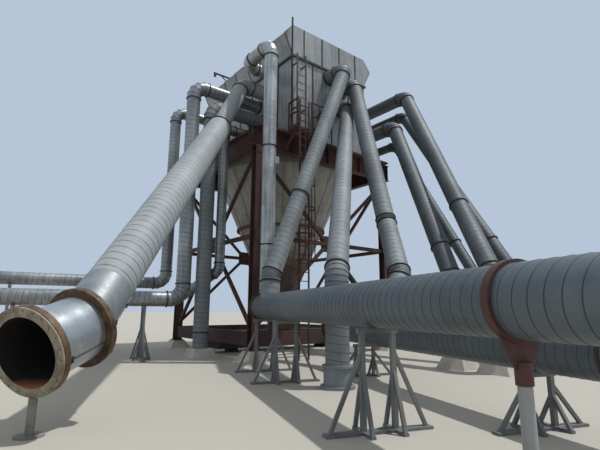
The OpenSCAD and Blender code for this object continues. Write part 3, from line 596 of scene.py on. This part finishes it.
def make_front_duct():
    piece = Piece("front_duct_skin", "duct_bright_zinc", FRONT)
    run_duct(piece, FRONT_TOP, FRONT_TOP_R)
    wall_ring(piece, FRONT_TOP, FRONT_TOP_R)
    a, b = FRONT_LOW
    d, spool_d = unit(b - a), unit(SPOOL[1] - SPOOL[0])
    u, w = side_axes(d)
    plain = b - d * SLEEVE_L
    band(piece, ring_points(a - d * REDUCER_L, u, w, FRONT_TOP_R, ROUND),
         ring_points(a, u, w, FRONT_R, ROUND), RING)
    rolled_sheets(piece, a, plain, FRONT_R, FRONT_SHEETS, LONG_TONE, FINE_ROUND)
    helix(piece, a, plain, FRONT_R, pitch=FRONT_PITCH, wide=FRONT_SEAM_W)
    flange(piece, a, d, FRONT_R, bolts=BIG_RING_BOLTS)
    swell = FRONT_R + SLEEVE_SWELL
    step = plain + d * SLEEVE_STEP
    tube(piece, plain, step, FRONT_R, SLEEVE_LOOK, r_end=swell, sides=FINE_ROUND)
    tube(piece, step, b - d * SLEEVE_END, swell, SLEEVE_LOOK, sides=FINE_ROUND)
    lap_seam(piece, plain + d * SLEEVE_LAP[0], b - d * SLEEVE_LAP[1], swell, SLEEVE_LOOK, SLEEVE_LATCHES)
    back, front = (b - spool_d * reach for reach in FRONT_FLANGE)
    disc_flange(piece, back, front, FRONT_R - FRONT_FLANGE_LIP, SPOOL_R + MOUTH_OUT - FRONT_FLANGE_TRIM)
    piece.finish("front_duct")


# A lap's place round its duct, and the half sizes of it and of a latch's bar and two ends
LAP_ANGLE, LAP_W, LAP_T, LAP_EDGE = math.radians(203), 0.016, 0.004, 0.001
LATCH_BAR, LATCH_END, LATCH_REACH = (.05, .008, .012), (.014, .016, .022), .035


def lap_seam(piece, a, b, r, mark, latches):
    """A straight lap along a rolled sheet, with draw latches over it at the given shares."""
    d = unit(b - a)
    u, w = side_axes(d)
    out = u * math.cos(LAP_ANGLE) + w * math.sin(LAP_ANGLE)
    axes = (out.cross(d), out, d)
    box(piece, (a + b) / 2 + out * r, axes, (LAP_W, LAP_T, (b - a).length / 2), mark, LAP_EDGE)
    for share in latches:
        spot = a.lerp(b, share) + out * (r + LAP_T)
        box(piece, spot, axes, LATCH_BAR, RING, edge=.003)
        for s in (-1, 1):
            box(piece, spot + axes[0] * s * LATCH_REACH, axes, LATCH_END, RING)


MOUTH_OUT, DISC_EDGE = 0.12, 0.006
MOUTH_BOLTS, MOUTH_BOLT_R, MOUTH_BOLT_TALL, BOLT_INSET = 24, 0.016, 0.02, 0.04


def disc_flange(piece, back, front, r, out):
    """One thick bolted ring from the point back to the point front."""
    d = unit(front - back)
    u, w = side_axes(d)
    profile = ((back, r), (back, out - DISC_EDGE), (back + d * DISC_EDGE, out),
               (front - d * DISC_EDGE, out), (front, out - DISC_EDGE), (front, r))
    rings = [ring_points(c, u, w, q, FINE_ROUND) for c, q in profile]
    for first, second in zip(rings, rings[1:]):
        band(piece, first, second, BRASS_LOOK, False)
    for k in range(MOUTH_BOLTS):
        t = 2 * math.pi * (k + .5) / MOUTH_BOLTS
        spot = back + (u * math.cos(t) + w * math.sin(t)) * (out - BOLT_INSET)
        bolt(piece, spot, -d, r=MOUTH_BOLT_R, tall=MOUTH_BOLT_TALL, mark=BRASS_LOOK)


# The dents: rows along the wall, rows over which they fade out, depth, and the ripple's three waves
DENT_ROWS, DENT_FADE, DENT_DEPTH = 36, 4, 0.0022
RIPPLE, SWAY, WOBBLE = .62, 1.3, .5


def dented_ring(centre, u, w, row):
    """One ring of the spool's wall, pressed in by shallow ripples that fade at both ends."""
    fade = min(1.0, row / DENT_FADE, (DENT_ROWS - row) / DENT_FADE)
    ring = []
    for j in range(WIDE_ROUND):
        t = 2 * math.pi * j / WIDE_ROUND
        ripple = math.sin(row * RIPPLE + SWAY * math.sin(2 * t) + WOBBLE * math.sin(5 * t))
        reach = SPOOL_R - DENT_DEPTH * fade * (1 + ripple) / 2
        ring.append(centre + (u * math.cos(t) + w * math.sin(t)) * reach)
    return ring


# The spool's wall, its flange at the start, and its pair at the mouth, with depths from each end
SPOOL_WALL, RIM, BORE_END = 0.008, 0.004, 0.062
START_FLANGE, MOUTH_FLANGE, MOUTH_DISC = (.003, .055), (.130, .034), .028
SPOOL_LAP, SPOOL_LATCHES, HOLE_R, HOLE_SIDES, HOLE_LIFT = (.056, .135), (.8,), .012, 12, .001


def make_spool():
    piece = Piece("open_spool_skin", "duct_bright_zinc", OPEN)
    start, mouth = SPOOL
    d = unit(mouth - start)
    u, w = side_axes(d)
    out, bore = SPOOL_R + MOUTH_OUT, SPOOL_R - SPOOL_WALL
    rows = [dented_ring(start.lerp(mouth, k / DENT_ROWS), u, w, k) for k in range(DENT_ROWS + 1)]
    for first, second in zip(rows, rows[1:]):
        band(piece, first, second, DUCT)
    lap_seam(piece, start + d * SPOOL_LAP[0], mouth - d * SPOOL_LAP[1], SPOOL_R, HELIX, SPOOL_LATCHES)
    disc_flange(piece, start + d * START_FLANGE[0], start + d * START_FLANGE[1], SPOOL_R, out - RIM)
    disc_flange(piece, mouth - d * MOUTH_FLANGE[0], mouth - d * MOUTH_FLANGE[1], SPOOL_R, out)
    profile = ((MOUTH_DISC, SPOOL_R), (MOUTH_DISC, out - RIM), (RIM, out), (0, out - RIM), (0, bore))
    rings = [ring_points(mouth - d * depth, u, w, r, FINE_ROUND) for depth, r in profile]
    for first, second in zip(rings, rings[1:]):
        band(piece, first, second, MOUTH_LOOK, False)
    # The bore ends in a near-black disc: painted shade that stands for the dark depth of the duct
    # beyond.
    deep = ring_points(start + d * BORE_END, u, w, bore, FINE_ROUND)
    band(piece, rings[-1], deep, BORE_SHADE_LOOK)
    piece.add(deep, [list(range(FINE_ROUND))], BORE_SHADE_LOOK)
    # Dark discs on the mouth's face: painted shade where its bolt holes are.
    for k in range(MOUTH_BOLTS):
        t = 2 * math.pi * (k + .5) / MOUTH_BOLTS
        spot = mouth + d * HOLE_LIFT + (u * math.cos(t) + w * math.sin(t)) * (out - BOLT_INSET)
        piece.add(ring_points(spot, u, w, HOLE_R, HOLE_SIDES), [list(range(HOLE_SIDES))], HOLE_SHADE_LOOK)
    piece.finish("open_spool")


make_ducts()
make_headers()
make_front_duct()
make_spool()


# Housing: how its walls and hood divide into sheets, and the strips over their seams
HOUSING_W, HOUSING_L, WALL_H = WALL_RIGHT - WALL_LEFT, WALL_REAR - WALL_FRONT, 3.1
SHEETS_W, SHEETS_L, SHEET_ROWS = 4, 7, 3
SHEET_GAP, SHEET_LIFT, SHEET_EDGE, WALL_TONE = 0.012, 0.006, 0.002, 0.22
END_STRIPS, STRIP_HALF, STRIP_EDGE, STRIP_INSET, STRIP_LOW = 4, 0.022, 0.003, 0.025, 0.01
END_STRIP_T, END_STRIP_GAP, SIDE_STRIP_T = 0.011, 0.02, 0.010


def wall_sheets(piece, origin, across, up, normal, width, height, count, rows):
    """Sheets of one wall, each with its own shade and a folded edge."""
    across, up, normal = unit(across), unit(up), unit(normal)
    w, h = width / count, height / rows
    half = (w / 2 - SHEET_GAP, h / 2 - SHEET_GAP / 2, SHEET_LIFT / 2)
    for i in range(count):
        for j in range(rows):
            centre = origin + across * w * (i + .5) + up * h * (j + .5) + normal * SHEET_LIFT / 2
            tone = (rng.random() - .5) * WALL_TONE
            box(piece, centre, (across, up, normal), half, 0, SHEET_EDGE, tone)


def make_housing_sheets():
    piece = Piece("housing_sheets", "housing_panels", ("panels",))
    near_left = Vector((WALL_LEFT, WALL_FRONT, BODY_Z))
    walls = ((near_left, X, -Y, HOUSING_W, SHEETS_W),
             (near_left + Y * HOUSING_L, X, Y, HOUSING_W, SHEETS_W),
             (near_left, Y, -X, HOUSING_L, SHEETS_L),
             (near_left + X * HOUSING_W, Y, X, HOUSING_L, SHEETS_L))
    for origin, across, normal, width, count in walls:
        wall_sheets(piece, origin, across, Z, normal, width, WALL_H, count, SHEET_ROWS)
    for x, s in ((WALL_LEFT, -1), (WALL_RIGHT, 1)):
        low = Vector((x, WALL_FRONT, HOOD_Z))
        flare, slope = Vector((s * HOOD_OUT, 0, HOOD_RISE)), Vector((-s * HOOD_OUT, 0, ROOF_RISE))
        for origin, up in ((low, flare), (low + flare, slope)):
            normal = Vector((s * up.z, 0, -s * up.x))
            wall_sheets(piece, origin, Y, up, normal, HOUSING_L, up.length, SHEETS_L, 1)
    piece.finish()


def make_hood_seams():
    piece = Piece("hood_end_seams", "black_steel", ("seam",))
    hood_w = HOUSING_W + 2 * HOOD_OUT
    for y, s in ((WALL_FRONT, -1), (WALL_REAR, 1)):
        for k in range(1, END_STRIPS + 1):
            x = WALL_LEFT - HOOD_OUT + hood_w * k / (END_STRIPS + 1)
            lean = max(0.0, WALL_LEFT - x, x - WALL_RIGHT) / HOOD_OUT
            low = HOOD_Z + lean * HOOD_RISE + END_STRIP_GAP
            high = HOOD_TOP - lean * ROOF_RISE - END_STRIP_GAP
            box(piece, (x, y + s * END_STRIP_T, (low + high) / 2), (X, Y, Z),
                (STRIP_HALF, END_STRIP_T, (high - low) / 2), 0, STRIP_EDGE)
    for x, s in ((WALL_LEFT, -1), (WALL_RIGHT, 1)):
        flare_out, roof_out = unit((s * HOOD_RISE, 0, -HOOD_OUT)), unit((s * ROOF_RISE, 0, HOOD_OUT))
        for k in range(SHEETS_L + 1):
            y = WALL_FRONT + STRIP_INSET + (HOUSING_L - 2 * STRIP_INSET) * k / SHEETS_L
            low = Vector((x, y, HOOD_Z + STRIP_LOW))
            brim = Vector((x + s * HOOD_OUT, y, HOOD_Z + HOOD_RISE))
            top = Vector((x, y, HOOD_TOP))
            for a, b, out in ((low, brim, flare_out), (brim, top, roof_out)):
                box(piece, (a + b) / 2 + out * SIDE_STRIP_T, (Y, out, b - a),
                    (STRIP_HALF, SIDE_STRIP_T, (b - a).length / 2), 0, STRIP_EDGE)
    piece.finish()


make_housing_sheets()
make_hood_seams()


# Hopper: battens in two rows down the cone, hoops round it, and the bolts of its joint
CENTRE = Vector((GRID_X / 2, GRID_Y / 2, 0))
HOPPER_TOP, OUTLET_Z, HOPPER_R, OUTLET_R = 7.2997, 1.65, 2.85, 0.37
BATTENS, BATTEN_LIFT, BATTEN_T, BATTEN_EDGE, HIGH_SHADE = 16, .006, .012, .003, -.35
LOW_ROW, HIGH_ROW, LOW_BATTEN, HIGH_BATTEN = (1.8, 4.93), (5.06, HOPPER_TOP - .02), .018, .022
HOOPS, HOOP_PROFILE = (3.3, 2.25), ((-.04, 0), (-.03, .025), (.03, .025), (.04, 0))
JOINT_Z, JOINT_BOLTS, JOINT_BOLT_R, JOINT_OUT, JOINT_UP, JOINT_THICK = 4.95, 32, .022, .07, .09, .09


def cone_r(z):
    return OUTLET_R + (HOPPER_R - OUTLET_R) * (z - OUTLET_Z) / (HOPPER_TOP - OUTLET_Z)


def around(count, start=0.0):
    """Directions spaced evenly round an upright axis."""
    turns = [2 * math.pi * (k + start) / count for k in range(count)]
    return [Vector((math.cos(t), math.sin(t), 0)) for t in turns]


def make_hopper():
    piece = Piece("hopper_seams", "rusty_flange", ("rusty", "hopper"))
    for out in around(BATTENS, start=.5):
        across = Z.cross(out)
        for (z0, z1), w, mark in ((HIGH_ROW, HIGH_BATTEN, 1), (LOW_ROW, LOW_BATTEN, 0)):
            a = CENTRE + out * (cone_r(z0) + BATTEN_LIFT) + Z * z0
            b = CENTRE + out * (cone_r(z1) + BATTEN_LIFT) + Z * z1
            normal = (b - a).cross(across).normalized()
            box(piece, (a + b) / 2, (across, normal, b - a), (w, BATTEN_T, (b - a).length / 2), mark,
                BATTEN_EDGE, HIGH_SHADE * mark)
    for z in HOOPS:
        rings = [ring_points(CENTRE + Z * (z + dz), X, Y, cone_r(z + dz) + grow, WIDE_ROUND)
                 for dz, grow in HOOP_PROFILE]
        for first, second in zip(rings, rings[1:]):
            band(piece, first, second)
    for out in around(JOINT_BOLTS):
        spot = CENTRE + out * (cone_r(JOINT_Z) + JOINT_OUT) + Z * (JOINT_Z + JOINT_UP)
        bolt(piece, spot, Z, r=JOINT_BOLT_R, tall=JOINT_BOLT_R)
        bolt(piece, spot - Z * JOINT_THICK, -Z, r=JOINT_BOLT_R, tall=JOINT_BOLT_R)
    piece.finish()


make_hopper()


# Steel frame: plates, as half sizes, and the levels that they sit at
GRID = [(0.0, 0.0), (GRID_X, 0.0), (0.0, GRID_Y), (GRID_X, GRID_Y)]
BASE_PLATE, BASE_PLATE_Z, ANCHOR_AT = (.21, .21, .015), .3153, .18
STIFFENER, STIFFENER_AT, STIFFENER_LEVELS = (.066, .125, .008), .078, (1.0, 4.3, 7.1)
COLUMN_FACE, GUSSET_W, GUSSET_T, GUSSETS = .150, .12, .006, ((.67, .2), (4.1, .22), (7.15, .12))
GUSSET_BOLT_AT, GUSSET_BOLT_SHARE = .08, .7
NODE_Z, NODE_T, NODE_ALONG, NODE_UP = 4.1, .012, (-.24, -.12, .12, .24), .24
GIRDER_RIB, GIRDER_RIBS, GIRDER_Z, GIRDER_FACE = (.008, .058, .325), 9, 7.65, .07
GIRDER_START, GIRDER_L = -.3, 7.1
PLATE_EDGE, GUSSET_BOLT_R, NODE_BOLT_R, ANCHOR_TALL = .002, .015, .016, .03


def make_frame_fittings():
    piece = Piece("frame_plates", "oxide_steel", ("oxide",))
    axes, signs = (X, Y, Z), (-1, 1)
    for gx, gy in GRID:
        box(piece, (gx, gy, BASE_PLATE_Z), axes, BASE_PLATE, edge=.003)
        for sx in signs:
            for sy in signs:
                spot = (gx + sx * ANCHOR_AT, gy + sy * ANCHOR_AT, BASE_PLATE_Z + BASE_PLATE[2])
                bolt(piece, spot, Z, r=NODE_BOLT_R, tall=ANCHOR_TALL)
        for level in STIFFENER_LEVELS:
            for sx in signs:
                box(piece, (gx + sx * STIFFENER_AT, gy, level), axes, STIFFENER, 0, PLATE_EDGE)
    for gx, gy in GRID:
        for s in signs:
            face = gy + s * COLUMN_FACE
            for level, tall in GUSSETS:
                box(piece, (gx, face + s * GUSSET_T, level), (X, Z, Y), (GUSSET_W, tall, GUSSET_T), 0,
                    PLATE_EDGE)
                for bx in (-GUSSET_BOLT_AT, GUSSET_BOLT_AT):
                    for bz in (-tall * GUSSET_BOLT_SHARE, 0, tall * GUSSET_BOLT_SHARE):
                        spot = (gx + bx, face + s * 2 * GUSSET_T, level + bz)
                        bolt(piece, spot, Y * s, r=GUSSET_BOLT_R)
    node = CENTRE + Z * NODE_Z
    for normal, along, reach in ((Y, X, GRID_Y / 2), (X, Y, GRID_X / 2)):
        for s in signs:
            for shift in NODE_ALONG:
                for rise in (-NODE_UP, NODE_UP):
                    spot = node + normal * s * (reach + NODE_T) + along * shift + Z * rise
                    bolt(piece, spot, normal * s, r=NODE_BOLT_R)
    for gy, s in ((0.0, -1), (GRID_Y, 1)):
        for k in range(GIRDER_RIBS):
            gx = GIRDER_START + GIRDER_L * k / (GIRDER_RIBS - 1)
            box(piece, (gx, gy + s * GIRDER_FACE, GIRDER_Z), axes, GIRDER_RIB, 0, PLATE_EDGE)
    piece.finish()


# Rotary valve: its end covers as depth and radius, their bolts, and its drive's motor
VALVE_DROP, COVER_AT, COVER_BOLTS, COVER_BOLT_AT, COVER_BOLT_R = .4503, .38, 12, .30, .014
COVER = ((0, .36), (.03, .36), (.03, .16), (.09, .13), (.09, .04))
MOTOR_AT, MOTOR_RISE, MOTOR_R, MOTOR_ENDS, MOTOR_SIDES = .72, .02, .12, (.2, .25), 32
FINS, FIN_START, FIN_PITCH, FIN_T, FIN_R = 8, -.16, .045, .010, .135
LEAD_BOX, LEAD_BOX_UP, CHAIN_CASE, CHAIN_AT, CHAIN_DROP = (.07, .05, .04), .13, (.05, .22, .16), .56, .02


def make_valve_drive():
    piece = Piece("valve_drive", "rusty_flange", ("rusty", "black", "stand"))
    axis = CENTRE + Z * (OUTLET_Z - VALVE_DROP)
    for s in (-1, 1):
        face = axis + X * s * COVER_AT
        rings = [ring_points(face + X * s * depth, Y, Z, r, ROUND) for depth, r in COVER]
        for first, second in zip(rings, rings[1:]):
            band(piece, first, second, 0, False)
        piece.add(rings[-1], [list(range(ROUND))], 1)
        for k in range(COVER_BOLTS):
            t = 2 * math.pi * k / COVER_BOLTS
            spot = face + X * s * COVER[1][0] + (Y * math.cos(t) + Z * math.sin(t)) * COVER_BOLT_AT
            bolt(piece, spot, X * s, r=COVER_BOLT_R)
    motor = axis + X * MOTOR_AT + Z * MOTOR_RISE
    tube(piece, motor - X * MOTOR_ENDS[0], motor + X * MOTOR_ENDS[1], MOTOR_R, 2, sides=MOTOR_SIDES,
         caps=True)
    for k in range(FINS):
        fin = motor + X * (FIN_START + k * FIN_PITCH)
        tube(piece, fin, fin + X * FIN_T, FIN_R, 2, sides=MOTOR_SIDES, caps=True)
    box(piece, motor + Z * LEAD_BOX_UP, (X, Y, Z), LEAD_BOX, 2, edge=.006)
    box(piece, axis + X * CHAIN_AT - Z * CHAIN_DROP, (X, Y, Z), CHAIN_CASE, 1, edge=.01)
    piece.finish()


# Trough: its lids, their bolts, and the ribs at its sides
TROUGH_X, TROUGH_L, TROUGH_TOP, LIDS = .15, 6.2, .78, 6
LID, LID_BOLTS, LID_BOLT_AT, LID_BOLT_R = (.50, .47, .008), (-.4, -.13, .13, .4), .43, .013
RIB, RIB_AT, RIB_Z = (.018, .012, .29), .462, .47


def make_trough_lids():
    piece = Piece("trough_lids", "black_steel", ("black", "rusty"))
    for k in range(LIDS):
        x = TROUGH_X + TROUGH_L * (k + .5) / LIDS
        box(piece, (x, CENTRE.y, TROUGH_TOP + LID[2]), (X, Y, Z), LID, edge=.003)
        for s in (-1, 1):
            for shift in LID_BOLTS:
                spot = (x + shift, CENTRE.y + s * LID_BOLT_AT, TROUGH_TOP + 2 * LID[2])
                bolt(piece, spot, Z, r=LID_BOLT_R)
            box(piece, (x - LID[0], CENTRE.y + s * RIB_AT, RIB_Z), (X, Y, Z), RIB, 1, edge=.003)
    piece.finish()


# Platform: its deck's edges, the bars of the grating, and the toe boards as half sizes
DECK_X0, DECK_X1, DECK_Y0, DECK_Y1, DECK_Z = 1.05, 2.55, -.95, -.331, 8.0603
GRATE_BARS, GRATE_INSET, GRATE_W, GRATE_T = 24, .03, .008, .004
TOE_T, TOE_H, TOE_Z, TOE_IN, FRONT_TOE, FRONT_TOE_SHIFT = .006, .05, .06, .008, .38, .35


def make_platform_details():
    piece = Piece("platform_details", "oxide_steel", ("oxide", "seam"))
    mid_x, mid_y = (DECK_X0 + DECK_X1) / 2, (DECK_Y0 + DECK_Y1) / 2
    reach = (DECK_Y1 - DECK_Y0) / 2 - GRATE_INSET
    for k in range(GRATE_BARS):
        x = DECK_X0 + GRATE_INSET + (DECK_X1 - DECK_X0 - 2 * GRATE_INSET) * k / (GRATE_BARS - 1)
        box(piece, (x, mid_y, DECK_Z + GRATE_T), (X, Y, Z), (GRATE_W, reach, GRATE_T), 1, edge=.001)
    box(piece, (mid_x + FRONT_TOE_SHIFT, DECK_Y0 + TOE_IN, DECK_Z + TOE_Z), (X, Y, Z),
        (FRONT_TOE, TOE_T, TOE_H), 0, PLATE_EDGE)
    for x in (DECK_X0 + TOE_IN, DECK_X1 - TOE_IN):
        box(piece, (x, mid_y, DECK_Z + TOE_Z), (X, Y, Z), (TOE_T, reach, TOE_H), 0, PLATE_EDGE)
    piece.finish()


# The hoist arm on the roof: heights over its foot, and reaches out from the wall
HOIST_FOOT = Vector((WALL_LEFT + .25, 5.3, HOOD_TOP))
HOIST_H, HOIST_W, ARM_Z, ARM_BACK, ARM_REACH, ARM_TALL = .34, .06, .32, .1, .85, .07
BRACE_LOW, BRACE_HIGH, BRACE_W = -X * .05 + Z * .02, -X * .45 + Z * .30, .04
BLOCK_AT, BLOCK, FOOT_PLATE = -X * .78 + Z * .22, (.05, .05, .08), (.12, .12, .012)

# The lamp on the corner riser, which faces the photo's viewpoint
LAMP_RIGHT, LAMP_NEAR = Vector((.788, -.616, 0)), Vector((-.616, -.788, 0))
LAMP = Vector((-.05, -.8, 6.5)) + LAMP_RIGHT * .27 + LAMP_NEAR * .10
LAMP_BODY, LAMP_ARM, LAMP_ARM_AT = (.075, .045, .12), (.05, .015, .03), .09


def make_roof_fittings():
    piece = Piece("roof_fittings", "black_steel", ("black", "ladder_zinc"))
    foot, arm, lamp_axes = HOIST_FOOT, HOIST_FOOT + Z * ARM_Z, (LAMP_RIGHT, LAMP_NEAR, Z)
    beam(piece, foot, foot + Z * HOIST_H, HOIST_W, HOIST_W)
    beam(piece, arm + X * ARM_BACK, arm - X * ARM_REACH, HOIST_W, ARM_TALL)
    beam(piece, foot + BRACE_LOW, foot + BRACE_HIGH, BRACE_W, BRACE_W)
    box(piece, foot + BLOCK_AT, (X, Y, Z), BLOCK, edge=.01)
    box(piece, foot + Z * FOOT_PLATE[2], (X, Y, Z), FOOT_PLATE, edge=.003)
    box(piece, LAMP, lamp_axes, LAMP_BODY, 1, edge=.012)
    box(piece, LAMP - LAMP_RIGHT * LAMP_ARM_AT, lamp_axes, LAMP_ARM)
    piece.finish()


# The header saddle's post: how far along the header, its two ends, and its foot bolts
POST_ALONG, POST_Z0, POST_Z1, POST_R, POST_SIDES = 9.05, .03, .985, .0612, 32
POST_BOLTS, POST_BOLT_AT, POST_BOLT_R = 8, .085, .010


def make_saddle_post():
    piece = Piece("saddle_post_skin", "stand_steel", ("post", "saddle"))
    foot = HEADER_ONE + HEADER_DIR * POST_ALONG
    foot.z = 0
    tube(piece, foot + Z * POST_Z0, foot + Z * POST_Z1, POST_R, 0, sides=POST_SIDES)
    for out in around(POST_BOLTS):
        bolt(piece, foot + out * POST_BOLT_AT + Z * POST_Z0, Z, r=POST_BOLT_R)
    piece.finish()


make_frame_fittings()
make_valve_drive()
make_trough_lids()
make_platform_details()
make_roof_fittings()
make_saddle_post()


# Floor, sky and sun
FLOOR_SIZE, FLOOR_COLOUR = 220.0, (.40, .385, .345)
LIGHT_SKY, LIGHT_STRENGTH, SEEN_SKY = (.93, .97, 1.0, 1.0), .62, (.47, .56, .68, 1.0)
SUN_STRENGTH, SUN_ANGLE, SUN_COLOUR, SUN_AIM = 3.0, math.radians(1.5), (1.0, .97, .93), (-.32, .25, -1.0)


def make_floor():
    paint = worn_look("floor_paint", FLOOR_COLOUR, *(tuple(c * share for c in FLOOR_COLOUR)
                                                     for share in (.96, .94, .97)),
                      patch_scale=.15, rough=.9, bump=.02, patch_amount=.3, streak_amount=.2)
    corners = [(x * FLOOR_SIZE, y * FLOOR_SIZE, 0) for x, y in ((-1, -1), (1, -1), (1, 1), (-1, 1))]
    mesh = bpy.data.meshes.new("floor")
    mesh.from_pydata(corners, [], [(0, 1, 2, 3)])
    mesh.materials.append(paint)
    floor = bpy.data.objects.new("floor", mesh)
    scene.collection.objects.link(floor)


def make_sky():
    """One sky lights the part; another is what the camera and clear reflections see."""
    world = bpy.data.worlds.new("sky")
    scene.world = world
    world.use_nodes = True
    tree = world.node_tree
    tree.nodes.clear()
    link, add = tree.links.new, tree.nodes.new
    out = add("ShaderNodeOutputWorld")
    mixer = add("ShaderNodeMixShader")
    light = add("ShaderNodeBackground")
    seen = add("ShaderNodeBackground")
    light.inputs[0].default_value = LIGHT_SKY
    light.inputs[1].default_value = LIGHT_STRENGTH
    seen.inputs[0].default_value = SEEN_SKY
    path = add("ShaderNodeLightPath")
    seen_by = path.outputs["Is Camera Ray"]
    for kind in ("Is Glossy Ray", "Is Transmission Ray"):
        either = add("ShaderNodeMath")
        either.operation = "MAXIMUM"
        link(seen_by, either.inputs[0])
        link(path.outputs[kind], either.inputs[1])
        seen_by = either.outputs[0]
    link(seen_by, mixer.inputs[0])
    link(light.outputs[0], mixer.inputs[1])
    link(seen.outputs[0], mixer.inputs[2])
    link(mixer.outputs[0], out.inputs[0])


def make_sun():
    data = bpy.data.lights.new("sun", "SUN")
    data.energy = SUN_STRENGTH
    data.angle = SUN_ANGLE
    data.color = SUN_COLOUR
    sun = bpy.data.objects.new("sun", data)
    scene.collection.objects.link(sun)
    sun.rotation_euler = Vector(SUN_AIM).to_track_quat("-Z", "Y").to_euler()


make_floor()
make_sky()
make_sun()
scene.view_settings.view_transform = "Standard"


def plain(bounds):
    return [[float(v) for v in corner] for corner in bounds]
